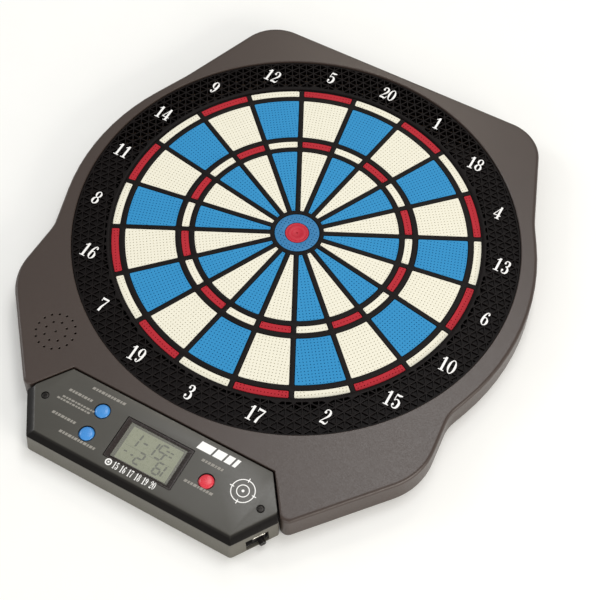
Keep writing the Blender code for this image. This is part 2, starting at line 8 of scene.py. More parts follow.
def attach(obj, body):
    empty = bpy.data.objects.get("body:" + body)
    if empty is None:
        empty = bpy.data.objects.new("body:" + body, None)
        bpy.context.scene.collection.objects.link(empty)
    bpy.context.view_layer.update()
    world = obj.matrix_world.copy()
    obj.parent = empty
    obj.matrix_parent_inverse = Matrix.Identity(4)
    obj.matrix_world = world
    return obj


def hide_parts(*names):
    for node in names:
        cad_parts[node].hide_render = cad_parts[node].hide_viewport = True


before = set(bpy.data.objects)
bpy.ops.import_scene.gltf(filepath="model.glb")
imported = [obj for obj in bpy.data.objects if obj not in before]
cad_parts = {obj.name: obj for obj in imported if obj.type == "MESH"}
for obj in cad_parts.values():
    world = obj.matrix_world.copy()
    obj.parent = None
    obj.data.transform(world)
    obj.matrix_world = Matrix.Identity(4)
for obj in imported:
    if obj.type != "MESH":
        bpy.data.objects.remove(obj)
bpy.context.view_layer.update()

# Electronic soft-tip dartboard on its back. +Z comes out of the playing face and +Y points at the 20.
# Lengths in the dictionaries are millimetres, like mm * value further down.
mm = 0.001


def hexToLinear(text):
    parts = [int(text[i:i + 2], 16) / 255 for i in (1, 3, 5)]
    return tuple(p / 12.92 if p <= 0.04045 else ((p + 0.055) / 1.055) ** 2.4 for p in parts) + (1.0,)


def addNode(tree, kind, settings, links=()):
    node = tree.nodes.new(kind)
    for key, value in settings.items():      # a key is a socket's name or number, or a setting of the node
        if isinstance(key, int) or key in node.inputs:
            node.inputs[key].default_value = value
        else:
            setattr(node, key, value)
    for key, socket in dict(links).items():
        tree.links.new(socket, node.inputs[key])
    return node


def finishObject(name, data, body, material, stands=()):
    piece = bpy.data.objects.new(name, data)
    bpy.context.scene.collection.objects.link(piece)
    if not data.materials:
        data.materials.append(material)
    piece.material_slots[0].link = "OBJECT"
    piece.material_slots[0].material = material
    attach(piece, body)
    if stands:
        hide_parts(*stands)
    return piece


def meshFrom(name, build, sharp=32.0):
    mesh = bmesh.new()
    build(mesh)
    bmesh.ops.remove_doubles(mesh, verts=mesh.verts, dist=2e-6)
    bmesh.ops.recalc_face_normals(mesh, faces=mesh.faces)
    data = bpy.data.meshes.new(name)
    mesh.to_mesh(data)
    mesh.free()
    data.shade_smooth()
    data.set_sharp_from_angle(angle=math.radians(sharp))
    return data


def turnedInto(mesh, profile, steps, at=Matrix.Identity(4)):
    # a closed turned body: the profile of (radius, height) starts and ends on the axis, or closes on itself
    rings = []
    for radius, height in profile:
        count = steps if radius > 1e-6 else 1
        ring = []
        for step in range(count):
            angle = 2 * math.pi * step / steps
            ring.append(mesh.verts.new(at @ Vector((radius * math.cos(angle), radius * math.sin(angle),
                                                    height)) * mm))
        rings.append(ring)
    pairs = list(zip(rings, rings[1:]))
    if len(rings[0]) > 1:
        pairs.append((rings[-1], rings[0]))
    for low, high in pairs:
        for step in range(steps):
            after = (step + 1) % steps
            corners = [low[step % len(low)], low[after % len(low)], high[after % len(high)],
                       high[step % len(high)]]
            corners = list(dict.fromkeys(corners))
            if len(corners) > 2:
                mesh.faces.new(corners)


def loopsToMesh(name, loops, low, high, bevel=0.0, sharp=32.0, rounds=0):
    # the first loop is the outside; the others are openings. The bevel rounds every edge, top and bottom
    curve = bpy.data.curves.new(name, "CURVE")
    curve.dimensions = "2D"
    curve.fill_mode = "BOTH"
    curve.extrude = ((high - low) / 2 - bevel) * mm
    curve.bevel_depth = bevel * mm
    curve.bevel_resolution = rounds
    curve.offset = -bevel * mm
    for index, loop in enumerate(loops):
        area = sum(a[0] * b[1] - b[0] * a[1] for a, b in zip(loop, list(loop[1:]) + [loop[0]]))
        if (area > 0) == (index > 0):
            loop = loop[::-1]
        spline = curve.splines.new("POLY")
        spline.points.add(len(loop) - 1)
        for point, place in zip(spline.points, loop):
            point.co = (place[0] * mm, place[1] * mm, 0.0, 1.0)
        spline.use_cyclic_u = True
    flat = bpy.data.objects.new(name, curve)
    bpy.context.scene.collection.objects.link(flat)
    bpy.context.view_layer.update()
    raw = bpy.data.meshes.new_from_object(flat.evaluated_get(bpy.context.evaluated_depsgraph_get()))
    bpy.data.objects.remove(flat)
    bpy.data.curves.remove(curve)
    raw.transform(Matrix.Translation((0.0, 0.0, (low + high) / 2 * mm)))
    data = meshFrom(name, lambda mesh: mesh.from_mesh(raw), sharp)
    bpy.data.meshes.remove(raw)
    return data


def circlePoints(radius, steps, centre=(0.0, 0.0), turn=0.0):
    angles = [turn + 2 * math.pi * step / steps for step in range(steps)]
    return [(centre[0] + radius * math.cos(a), centre[1] + radius * math.sin(a)) for a in angles]


def spun(points, degrees):
    c, s = math.cos(math.radians(degrees)), math.sin(math.radians(degrees))
    return [(c * x - s * y, s * x + c * y) for x, y in points]


# outlines with filleted corners, as the moulds have them
def mirroredCorners(half, other=None):
    # clockwise from the top right; other holds the left half where it differs
    kinds = ["wall" if half[0][3] == "wall" else "top"] + [corner[3] for corner in half[:-1]]
    left = [(-corner[0], corner[1], corner[2], kind) for corner, kind in zip(other or half, kinds)]
    return list(half) + left[::-1]


def filletPoints(corner, u, v, radius, arcStep):
    bend = math.atan2(u.x * v.y - u.y * v.x, u.dot(v))
    start = corner - u * radius * math.tan(abs(bend) / 2)
    side = 1 if bend > 0 else -1
    centre = start + Vector((-u.y, u.x)) * (side * radius)
    steps = max(2, round(abs(bend) / math.radians(arcStep)))
    return [centre + Matrix.Rotation(bend * step / steps, 2) @ (start - centre)
            for step in range(steps + 1)]


def grownOutline(corners, grow, arcStep):
    # grow moves each kind of edge outwards by its own amount
    lines = []
    for index, corner in enumerate(corners):
        start, end = Vector(corner[:2]), Vector(corners[(index + 1) % len(corners)][:2])
        along = (end - start).normalized()
        lines.append((start + Vector((-along.y, along.x)) * grow.get(corner[3], 0.0), along))
    points = []
    for index, corner in enumerate(corners):
        (p, u), (q, v) = lines[index - 1], lines[index]
        turn = u.x * v.y - u.y * v.x
        where = p + u * (((q.x - p.x) * v.y - (q.y - p.y) * v.x) / turn)
        before, after = grow.get(corners[index - 1][3], 0.0), grow.get(corner[3], 0.0)
        radius = corner[2]
        if abs(before - after) < 1e-9:
            radius += before if turn < 0 else -before
        points += filletPoints(where, u, v, max(radius, 0.4), arcStep)
    return points


# camera, floor and studio light
view = {
    "camera place": (282.0, -561.8, 938.8),
    "camera right": (0.87811, 0.47775, 0.02618),
    "camera up": (-0.42082, 0.74510, 0.51743),
    "lens": 71.886,
    "shift": 0.00083,
    "floor level": -0.3,
    "floor size": 9000.0,
    "sky": "#f8f8f6",
    "sky strength": 0.50,
}
studioLamps = [
    # name, place, aim, side lengths, power in watts, colour
    ("keySoftbox", (1800.0, -500.0, 700.0), (60.0, 0.0, 0.0), (1300.0, 700.0), 20.0, "#fffaf2"),
    ("frontSoftbox", (500.0, -2300.0, 700.0), (0.0, 0.0, 0.0), (1800.0, 700.0), 13.0, "#ffffff"),
    ("sideSoftbox", (-2300.0, -300.0, 1300.0), (0.0, 0.0, 0.0), (900.0, 900.0), 12.0, "#ffffff"),
    ("backSoftbox", (-640.0, 1960.0, 2000.0), (0.0, 210.0, 0.0), (420.0, 320.0), 5.0, "#fff6e6"),
    ("overheadSoftbox", (80.0, 720.0, 2000.0), (0.0, 0.0, 0.0), (1000.0, 1000.0), 14.0, "#ffffff"),
]


def buildView():
    right, up = Vector(view["camera right"]).normalized(), Vector(view["camera up"])
    back = right.cross(up).normalized()
    up = back.cross(right)
    lens = bpy.data.cameras.new("boardCamera")
    lens.lens = view["lens"]
    lens.sensor_width = 36.0
    lens.shift_x, lens.shift_y = -view["shift"], view["shift"]
    lens.clip_end = 30.0
    camera = bpy.data.objects.new("boardCamera", lens)
    turn = Matrix((right, up, back)).transposed().to_4x4()
    camera.matrix_world = Matrix.Translation(Vector(view["camera place"]) * mm) @ turn
    bpy.context.scene.collection.objects.link(camera)
    bpy.context.scene.camera = camera
    bpy.context.scene.view_settings.view_transform = "Standard"
    half = view["floor size"] / 2 * mm
    data = bpy.data.meshes.new("paperFloor")
    data.from_pydata([(-half, -half, 0), (half, -half, 0), (half, half, 0), (-half, half, 0)], [],
                     [(0, 1, 2, 3)])
    floor = bpy.data.objects.new("paperFloor", data)
    floor.location.z = view["floor level"] * mm
    bpy.context.scene.collection.objects.link(floor)
    data.materials.append(mattPaper("whitePaperRolled"))
    sky = bpy.data.worlds.new("studioSky")
    sky.use_nodes = True
    background = sky.node_tree.nodes["Background"]
    background.inputs["Color"].default_value = hexToLinear(view["sky"])
    background.inputs["Strength"].default_value = view["sky strength"]
    bpy.context.scene.world = sky
    for name, place, aim, sides, watts, colour in studioLamps:
        light = bpy.data.lights.new(name, "AREA")
        light.shape = "RECTANGLE"
        light.size, light.size_y = sides[0] * mm, sides[1] * mm
        light.energy = watts
        light.color = hexToLinear(colour)[:3]
        lamp = bpy.data.objects.new(name, light)
        lamp.location = Vector(place) * mm
        lamp.rotation_euler = (Vector(aim) - Vector(place)).to_track_quat("-Z", "Y").to_euler()
        bpy.context.scene.collection.objects.link(lamp)


def mattPaper(name):
    # background paper, rolled and uncoated: flat white with a barely visible fibre mottle
    material = bpy.data.materials.new(name)
    material.use_nodes = True
    tree = material.node_tree
    shader = tree.nodes["Principled BSDF"]
    shader.inputs["Roughness"].default_value = 0.9
    shader.inputs["Specular IOR Level"].default_value = 0.2
    place = addNode(tree, "ShaderNodeTexCoord", {})
    fibres = addNode(tree, "ShaderNodeTexNoise", {"Scale": 1 / (40 * mm), "Detail": 4.0},
                     {"Vector": place.outputs["Object"]})
    white = addNode(tree, "ShaderNodeMix", {"data_type": "RGBA", 6: hexToLinear("#fafaf8"),
                                            7: hexToLinear("#fdfdfb")},
                    {0: fibres.outputs["Fac"]})
    tree.links.new(white.outputs[2], shader.inputs["Base Color"])
    return material


def mouldedPlastic(name, colour, shade, roughness, grain, depth, ior=1.5, spread=0.06, specular=0.5,
                   paintedSlopeShade=None):
    # injection-moulded plastic: an even colour that drifts a little with the melt flow, over the fine
    # spark-eroded grain that the mould leaves. grain and depth are in millimetres. The colour given for
    # sloping
    # faces is painted shade: faces that tilt away from straight up are blended towards it and get a weaker
    # gloss
    material = bpy.data.materials.new(name)
    material.use_nodes = True
    tree = material.node_tree
    shader = tree.nodes["Principled BSDF"]
    shader.inputs["IOR"].default_value = ior
    shader.inputs["Specular IOR Level"].default_value = specular
    place = addNode(tree, "ShaderNodeTexCoord", {})
    flow = addNode(tree, "ShaderNodeTexNoise", {"Scale": 1 / (55 * mm), "Detail": 3.0, "Roughness": 0.6},
                   {"Vector": place.outputs["Object"]})
    speck = addNode(tree, "ShaderNodeTexNoise", {"Scale": 1 / (grain * mm), "Detail": 2.0},
                    {"Vector": place.outputs["Object"]})
    tint = addNode(tree, "ShaderNodeMix", {"data_type": "RGBA", 6: hexToLinear(colour),
                                           7: hexToLinear(shade)},
                   {0: flow.outputs["Fac"]})
    sheen = addNode(tree, "ShaderNodeMapRange",
                    {"From Min": 0.3, "From Max": 0.7, "To Min": roughness - spread,
                     "To Max": roughness + spread}, {"Value": speck.outputs["Fac"]})
    relief = addNode(tree, "ShaderNodeBump", {"Strength": 1.0, "Distance": depth * mm},
                     {"Height": speck.outputs["Fac"]})
    # painted shade: the darker colour fades in as the face tilts from straight up, and the specular drops
    # with it
    if paintedSlopeShade is not None:
        facing = addNode(tree, "ShaderNodeSeparateXYZ", {}, {"Vector": place.outputs["Normal"]})
        level = addNode(tree, "ShaderNodeMapRange", {"From Min": 0.88, "From Max": 0.97},
                        {"Value": facing.outputs["Z"]})
        tint = addNode(tree, "ShaderNodeMix", {"data_type": "RGBA", 6: hexToLinear(paintedSlopeShade)},
                       {0: level.outputs["Result"], 7: tint.outputs[2]})
        gloss = addNode(tree, "ShaderNodeMapRange",
                        {"From Min": 0.88, "From Max": 0.97, "To Min": 0.12, "To Max": specular},
                        {"Value": facing.outputs["Z"]})
        tree.links.new(gloss.outputs["Result"], shader.inputs["Specular IOR Level"])
    tree.links.new(tint.outputs[2], shader.inputs["Base Color"])
    tree.links.new(sheen.outputs["Result"], shader.inputs["Roughness"])
    tree.links.new(relief.outputs["Normal"], shader.inputs["Normal"])
    return material


def metalFinish(name, colour, shade, roughness, grain, stretch=(1.0, 1.0, 1.0), depth=0.01):
    # plated or brushed metal: the plating's crystals, or the brush's strokes, break the reflections up
    material = bpy.data.materials.new(name)
    material.use_nodes = True
    tree = material.node_tree
    shader = tree.nodes["Principled BSDF"]
    shader.inputs["Metallic"].default_value = 1.0
    place = addNode(tree, "ShaderNodeTexCoord", {})
    drawn = addNode(tree, "ShaderNodeMapping", {"Scale": stretch}, {"Vector": place.outputs["Object"]})
    marks = addNode(tree, "ShaderNodeTexNoise", {"Scale": 1 / (grain * mm), "Detail": 3.0},
                    {"Vector": drawn.outputs["Vector"]})
    tint = addNode(tree, "ShaderNodeMix", {"data_type": "RGBA", 6: hexToLinear(colour),
                                           7: hexToLinear(shade)},
                   {0: marks.outputs["Fac"]})
    sheen = addNode(tree, "ShaderNodeMapRange", {"To Min": roughness * 0.75, "To Max": roughness * 1.25},
                    {"Value": marks.outputs["Fac"]})
    relief = addNode(tree, "ShaderNodeBump", {"Strength": 1.0, "Distance": depth * mm},
                     {"Height": marks.outputs["Fac"]})
    tree.links.new(tint.outputs[2], shader.inputs["Base Color"])
    tree.links.new(sheen.outputs["Result"], shader.inputs["Roughness"])
    tree.links.new(relief.outputs["Normal"], shader.inputs["Normal"])
    return material


# ABS moulded in a spark-eroded tool: a satin grey-brown that turns pale where it mirrors the lights.
# The real grain is about 0.2 mm; it is drawn at 1.1 mm so that it shows
frameAbs = mouldedPlastic("greyAbsSpark", "#3a2f2a", "#41352f", 0.36, 1.1, 0.018)
# ABS moulded in a rough tool for the back: plain black that stays matt
rearAbs = mouldedPlastic("blackAbsRough", "#1c1b1b", "#242222", 0.62, 1.4, 0.05)
# nylon moulded in a smooth tool: a warm black whose rounded ribs keep a thin soft glint
gridNylon = mouldedPlastic("blackNylonSmooth", "#0c0808", "#110b0b", 0.50, 0.9, 0.006, specular=0.12)
# polypropylene moulded in a polished tool: waxy colour with a broad soft sheen
blueSegment = mouldedPlastic("bluePolypropylene", "#2a88c0", "#3393ca", 0.60, 1.6, 0.010, specular=0.2)
bullBlue = mouldedPlastic("bullBluePolypropylene", "#2774a8", "#2f7db2", 0.45, 1.2, 0.006, specular=0.3)
ivorySegment = mouldedPlastic("ivoryPolypropylene", "#ebe7d4", "#f0ecdb", 0.60, 1.6, 0.010, specular=0.2)
redSegment = mouldedPlastic("redPolypropylene", "#ae1f2c", "#ba2733", 0.60, 1.6, 0.010, specular=0.2)
bullRed = mouldedPlastic("bullRedPolypropylene", "#b71c30", "#c4263a", 0.45, 1.2, 0.006, specular=0.3)
# ink stamped hot on the ring: flat clean white with a slight dry grain
labelInk = mouldedPlastic("greySilkscreen", "#8b8780", "#98948c", 0.55, 0.8, 0.004)
numberInk = mouldedPlastic("whiteFoilStamped", "#f4f2ee", "#ffffff", 0.55, 0.8, 0.004)
# ABS moulded in a polished tool, smoked: a green-tinted charcoal with a clearer sheen than the frame. Its
# sloping sides get a near-black painted shade
coverAbs = mouldedPlastic("smokedAbsPolished", "#403e39", "#4a4842", 0.34, 1.8, 0.006, paintedSlopeShade="#181615")
baseAbs = mouldedPlastic("greyAbsModuleSpark", "#56534a", "#5c5950", 0.45, 1.1, 0.02)
bezelAbs = mouldedPlastic("blackAbsBezelPolished", "#241c1a", "#2c2321", 0.25, 2.0, 0.003)
lcdFilm = mouldedPlastic("greenGreyLcdFilm", "#80846a", "#898d74", 0.30, 2.5, 0.002)
lcdInk = mouldedPlastic("darkLiquidCrystal", "#1e1f19", "#26271f", 0.35, 2.5, 0.001)
buttonBlue = mouldedPlastic("blueAbsPolished", "#3b88d2", "#4593dc", 0.28, 1.5, 0.003)
buttonRed = mouldedPlastic("redAbsPolished", "#d5303f", "#e03c4a", 0.28, 1.5, 0.003)
screwZinc = metalFinish("zincPlatedSteel", "#b9bcc0", "#9a9c9f", 0.32, 0.8)
jackNylon = mouldedPlastic("blackNylonSocket", "#141213", "#1b1818", 0.35, 0.8, 0.004)
springSteel = metalFinish("nickelPlatedSpringSteel", "#c9c7c0", "#aaa79f", 0.25, 0.5, (1.0, 6.0, 1.0))
buildView()
print("camera, light and plastics ready")


# grey front frame with a rolled front edge, a flared wall and a grille for the speaker
frameShape = {
    "corners": ((150.7, 214.2, 37.8, "wall"), (186.6, 115.4, 95.0, "wall"), (240.8, 8.8, 219.1, "wall"),
                (199.7, -101.9, 40.0, "wall"), (204.4, -162.1, 56.8, "wall"), (124.2, -254.9, 7.0, "notch"),
                (98.6, -218.8, 1.5, "notch")),
    "left corners": ((146.2, 212.9, 37.8), (183.8, 110.5, 95.0), (229.0, 8.0, 202.0), (195.0, -104.0, 40.0),
                     (196.4, -165.2, 52.0), (122.8, -252.9, 7.0), (98.6, -218.8, 1.5)),
    "arc step": 4.0,
    "face": 26.0,
    "foot": 0.3,
    "flare": 4.3,                # how far the wall stands out at its foot
    "edge round": 3.3,
    "notch bevel": 0.6,
    "plate": 2.5,
    "opening": 207.2,
    "screws": ((148.0, 182.0), (186.0, -118.0), (138.0, -222.0)),
    "grille centre": (-132.1, -197.6),
    "grille rows": ((0.0, 1), (9.8, 8), (17.4, 16)),
    "grille hole": 0.95,
}


def spreadCounts(points, widest):
    # how many parts each stretch of an outline is cut into, so that none spans more than widest degrees
    counts = []
    for here, after in zip(points, points[1:] + points[:1]):
        span = abs(math.atan2(here.x * after.y - here.y * after.x, here.dot(after)))
        counts.append(max(1, math.ceil(span / math.radians(widest))))
    return counts


def spreadPoints(points, counts):
    found = []
    for here, after, count in zip(points, points[1:] + points[:1], counts):
        found += [here.lerp(after, step / count) for step in range(count)]
    return found


def ringLoft(mesh, levels, closed=False):
    # skins matching rings of points, given as (height, points); a loft that isn't closed gets both ends
    rings = [[mesh.verts.new((p[0] * mm, p[1] * mm, height * mm)) for p in points] for height,
             points in levels]
    for low, high in zip(rings, rings[1:] + (rings[:1] if closed else [])):
        for index in range(len(low)):
            after = (index + 1) % len(low)
            mesh.faces.new((low[index], low[after], high[after], high[index]))
    if not closed:
        mesh.faces.new(rings[0])
        mesh.faces.new(rings[-1])


def carved(data, cutters, sharp=32.0):
    # data without the space of the cutter meshes
    body = bpy.data.objects.new("carving", data)
    bpy.context.scene.collection.objects.link(body)
    tools = []
    for index, cutter in enumerate(cutters):
        tool = bpy.data.objects.new(f"carvingTool{index}", cutter)
        bpy.context.scene.collection.objects.link(tool)
        modifier = body.modifiers.new(tool.name, "BOOLEAN")
        modifier.object, modifier.operation, modifier.solver = tool, "DIFFERENCE", "EXACT"
        tools.append(tool)
    bpy.context.view_layer.update()
    result = bpy.data.meshes.new_from_object(body.evaluated_get(bpy.context.evaluated_depsgraph_get()))
    for thing in [body] + tools:
        spent = thing.data
        bpy.data.objects.remove(thing)
        bpy.data.meshes.remove(spent)
    result.shade_smooth()
    result.set_sharp_from_angle(angle=math.radians(sharp))
    return result


def makeFrameShell():
    shape = frameShape
    corners = mirroredCorners(shape["corners"], shape["left corners"])
    outlineOf = lambda grow: grownOutline(corners, grow, shape["arc step"])
    counts = spreadCounts(outlineOf({}), 3.0)
    face, rolled, bevel = shape["face"], shape["edge round"], shape["notch bevel"]
    inside = face - shape["plate"]
    outer = [(shape["foot"], {"wall": shape["flare"]})]
    for step in range(9):
        angle = math.radians(90 - 90 * step / 8)
        down = rolled * (1 - math.cos(angle))
        outer.append((face - down, {"wall": rolled * math.sin(angle), "notch": -max(0.0, bevel - down)}))
    outer.append((face, {"wall": -1.0, "notch": -1.0 - bevel}))
    inner = [(inside, {"wall": 0.3, "notch": -shape["plate"]}),
             (shape["foot"], {"wall": shape["flare"] - shape["plate"], "notch": -shape["plate"]})]
    levels = [(height, spreadPoints(outlineOf(grow), counts)) for height, grow in outer]
    for height, radius in ((face, 1.6), (face, 0.6), (face - 0.6, 0.0), (inside, 0.0)):
        levels.append((height, [p.normalized() * (shape["opening"] + radius) for p in levels[0][1]]))
    levels += [(height, spreadPoints(outlineOf(grow), counts)) for height, grow in inner]
    shell = meshFrom("frameShell", lambda mesh: ringLoft(mesh, levels, True), 40.0)
    cutter = bmesh.new()
    hole = shape["grille hole"]
    for radius, count in shape["grille rows"]:
        for x, y in circlePoints(radius, count, shape["grille centre"]):
            at = Matrix.Translation((x, y, 0.0))
            profile = [(0.0, 20.0), (hole, 20.0), (hole, face - 0.35), (hole + 0.35, face),
                       (hole + 0.35, 28.0), (0.0, 28.0)]
            turnedInto(cutter, profile, 16, at)
    for low, high in (((-89.5, -224.0, -1.0), (89.5, -213.0, 3.3)),
                      ((-15.0, -224.0, 10.0), (15.0, -213.0, 15.0))):
        centre, sides = (Vector(low) + Vector(high)) / 2, Vector(high) - Vector(low)
        bmesh.ops.create_cube(cutter, size=mm,
                              matrix=Matrix.Translation(centre * mm) @ Matrix.Diagonal((*sides, 1.0)))
    tools = bpy.data.meshes.new("frameTools")
    bmesh.ops.recalc_face_normals(cutter, faces=cutter.faces)
    cutter.to_mesh(tools)
    cutter.free()
    shell = carved(shell, [tools], 40.0)

    def addBosses(mesh):
        mesh.from_mesh(shell)
        for x, y in shape["screws"]:
            for side in (1, -1):
                profile = [(0.0, 18.0), (1.5, 18.0), (1.5, 3.3), (4.0, 3.3), (4.0, inside + 0.2),
                           (0.0, inside + 0.2)]
                turnedInto(mesh, profile, 24, Matrix.Translation((side * x, y, 0.0)))
    finishObject("frameShell", meshFrom("frameWithBosses", addBosses, 40.0), "housing",
                 frameAbs,
                 ("front_frame",))


makeFrameShell()
print("front frame ready")


# the target: black grid, perforated segments and the two bulls
targetShape = {
    "numbers": (20, 1, 18, 4, 13, 6, 10, 15, 2, 17, 3, 19, 7, 16, 8, 11, 14, 9, 12, 5),
    "cells": {                   # inner and outer radius of each row, and the steps of its arcs
        "innerSingle": (24.8, 95.0, 8),
        "triple": (99.9, 107.2, 8),
        "outerSingle": (112.3, 158.7, 12),
        "double": (163.8, 171.2, 12),
    },
    "rib": 4.3,
    "clearance": 0.3,
    "play level": 22.0,
    "rib level": 22.3,
    "rib back": 18.2,
    "web": (16.5, 17.9),         # the segments' flanges, low and high
    "inner bull": 11.2,
    "outer bull": 21.0,
    "hole pitch": 3.05,
    "hole radius": 0.47,
}


def wedgeLoop(inner, outer, sideGap, steps):
    half = math.pi / len(targetShape["numbers"])
    points = []
    for radius, direction, count in ((outer, 1, steps), (inner, -1, max(1, steps - 1))):
        reach = half - math.asin(sideGap / radius)
        for step in range(count + 1):
            angle = direction * reach * (1 - 2 * step / count)
            points.append((-radius * math.sin(angle), radius * math.cos(angle)))
    return points


def softenedLoop(points, corners, cut):
    # a loop whose listed corners are rounded off by about cut
    found = []
    for index, point in enumerate(points):
        if index not in corners:
            found.append(point)
            continue
        here = Vector(point)
        before, after = Vector(points[index - 1]), Vector(points[(index + 1) % len(points)])
        start = here + (before - here).normalized() * min(cut, (before - here).length * 0.45)
        end = here + (after - here).normalized() * min(cut, (after - here).length * 0.45)
        for t in (0.0, 0.33, 0.67, 1.0):
            found.append(tuple(start.lerp(here, t).lerp(here.lerp(end, t), t)))
    return found


def segmentHoles(inner, outer, sideGap, pitch, radius):
    half = math.pi / len(targetShape["numbers"])
    margin = radius + 0.55
    middle = (inner + outer) / 2
    rows = int((outer - inner - 2 * margin) / pitch / 2 + 0.5)
    loops = []
    for row in range(-rows, rows + 1):
        y = middle + row * pitch
        columns = int(y * math.tan(half) / pitch) + 1
        for column in range(-columns, columns + 1):
            x = column * pitch
            fromSide = (y * math.sin(half) - abs(x) * math.cos(half)) - sideGap
            if fromSide > margin and inner + margin < math.hypot(x, y) < outer - margin:
                loops.append(circlePoints(radius, 6, (x, y)))
    return loops


def makeGrid():
    shape = targetShape
    loops = [circlePoints(178.0, 160), circlePoints(shape["outer bull"], 80)]
    for inner, outer, steps in shape["cells"].values():
        wedge = wedgeLoop(inner, outer, shape["rib"] / 2, steps)
        wedge = softenedLoop(wedge, (0, steps, steps + 1, 2 * steps), 1.2)
        loops += [spun(wedge, 18.0 * index) for index in range(20)]
    ribs = loopsToMesh("gridRibs", loops, shape["rib back"], shape["rib level"], 0.55, 50.0, 2)
    outerBand = loopsToMesh("gridBand", [circlePoints(213.0, 160),
                                         circlePoints(177.9, 160)] + latticeHoles(),
                            shape["rib back"], shape["rib level"])

    def build(mesh):
        mesh.from_mesh(ribs)
        mesh.from_mesh(outerBand)
    finishObject("spiderGrid", meshFrom("spiderGrid", build, 50.0), "housing", gridNylon,
                 ("spider_grid",))


def makeSegments():
    shape = targetShape
    gap = shape["clearance"]
    moulds = {}
    for row, (inner, outer, steps) in shape["cells"].items():
        side = shape["rib"] / 2 + gap
        loop = softenedLoop(wedgeLoop(inner + gap, outer - gap, side, steps),
                            (0, steps, steps + 1, 2 * steps), 1.0)
        holes = segmentHoles(inner + gap, outer - gap, side, shape["hole pitch"], shape["hole radius"])
        block = loopsToMesh(row + "Block", [loop] + holes, shape["web"][0], shape["play level"], 0.22, 40.0)
        rim = wedgeLoop(inner - 0.9, outer + 0.9, side - 1.2, steps)
        flange = loopsToMesh(row + "Flange", [rim, wedgeLoop(inner + 0.5, outer - 0.5, side + 0.2, steps)],
                             *shape["web"])

        def build(mesh):
            mesh.from_mesh(block)
            mesh.from_mesh(flange)
        moulds[row] = meshFrom(row, build, 40.0)
    for index, number in enumerate(shape["numbers"]):
        for row, mould in moulds.items():
            single = row.endswith("Single")
            if index % 2 == 0:
                material, slot = (blueSegment, "segment_blue") if single else (ivorySegment,
                                                                               "segment_ivory")
            else:
                material, slot = (ivorySegment, "segment_ivory") if single else (redSegment, "bull_red")
            piece = finishObject(f"{row}{number}", mould, f"sector_{number}_body", material,
                                 (f"sector_{number}",))
            piece.rotation_euler.z = -math.radians(18.0 * index)


def makeBulls():
    shape = targetShape
    gap, top, (low, webTop) = shape["clearance"], shape["play level"], shape["web"]
    step = webTop + 1.5
    inner, outer = shape["inner bull"] + 0.2, shape["outer bull"] - gap
    holes = []
    for row in range(-7, 8):
        for column in range(-7, 8):
            x, y = column * shape["hole pitch"], row * shape["hole pitch"]
            if inner + 1.4 < math.hypot(x, y) < outer - 1.4:
                holes.append(circlePoints(shape["hole radius"], 6, (x, y)))
    plate = loopsToMesh("outerBullPlate", [circlePoints(outer, 80), circlePoints(inner, 64)] + holes, step,
                        top, 0.3, 40.0, 1)

    def buildOuter(mesh):
        mesh.from_mesh(plate)
        turnedInto(mesh, [(15.3, step), (outer - 0.3, step), (outer - 0.3, webTop), (24.2, webTop),
                          (24.2, low), (15.3, low)], 80)

    def buildInner(mesh):
        core = shape["inner bull"] - gap
        profile = [(0.0, top - 1.6), (0.9, top - 1.5), (1.1, top - 0.85), (3.6, top - 0.8),
                   (4.9, top - 0.35), (5.6, top - 0.05),
                   (7.6, top), (8.2, top - 0.12), (8.6, top - 0.42), (9.0, top - 0.42), (9.4, top - 0.12),
                   (9.8, top),
                   (core - 0.35, top), (core - 0.1, top - 0.12), (core, top - 0.4), (core, webTop),
                   (14.4, webTop),
                   (14.4, low), (0.0, low)]
        turnedInto(mesh, profile, 72)
    finishObject("outerBull", meshFrom("outerBull", buildOuter, 40.0), "outer_bull_body",
                 bullBlue, ("outer_bull",))
    finishObject("innerBull", meshFrom("innerBull", buildInner, 40.0), "inner_bull_body",
                 bullRed, ("inner_bull",))


# the number ring: a triangular lattice with raised numerals
ringShape = {
    "inner": 172.0,
    "outer": 206.9,
    "flat from": 174.0,
    "base": 22.6,
    "top": 24.0,
    "row spacing": 7.1,
    "strut": 1.1,
    "lattice": (175.4, 205.2),
    "numeral radius": 190.6,
    "numeral height": 14.8,
    "numeral weight": 0.82,
    "numeral thickness": 0.35,
}


def latticeHoles():
    # triangular openings on one lattice for the whole ring, its rows square to the board's sides
    row = ringShape["row spacing"]
    pitch = row / math.sin(math.radians(60))
    low, high = ringShape["lattice"]
    inset = ringShape["strut"] / 2
    reach = int(high / row) + 2
    loops = []
    for j in range(-reach, reach + 1):
        for i in range(-reach, reach + 1):
            x, y = (i + 0.5 * (j % 2)) * pitch, j * row
            for corners in (((x, y), (x + pitch, y), (x + pitch / 2, y + row)),
                            ((x, y), (x + pitch / 2, y - row), (x + pitch, y))):
                cx, cy = sum(c[0] for c in corners) / 3, sum(c[1] for c in corners) / 3
                if not low - 1.5 < math.hypot(cx, cy) < high + 1.5:
                    continue
                shrink = 1 - inset / (row / 3)
                small = [(cx + (a - cx) * shrink, cy + (b - cy) * shrink) for a, b in corners]
                radii = [math.hypot(*p) for p in small]
                if min(radii) < low or max(radii) > high:
                    small = clippedToBand(small, low, high)
                if len(small) > 2 and loopArea(small) > 2.5:
                    loops.append(small)
    return loops


def loopArea(points):
    return abs(sum(a[0] * b[1] - b[0] * a[1] for a, b in zip(points, points[1:] + points[:1]))) / 2


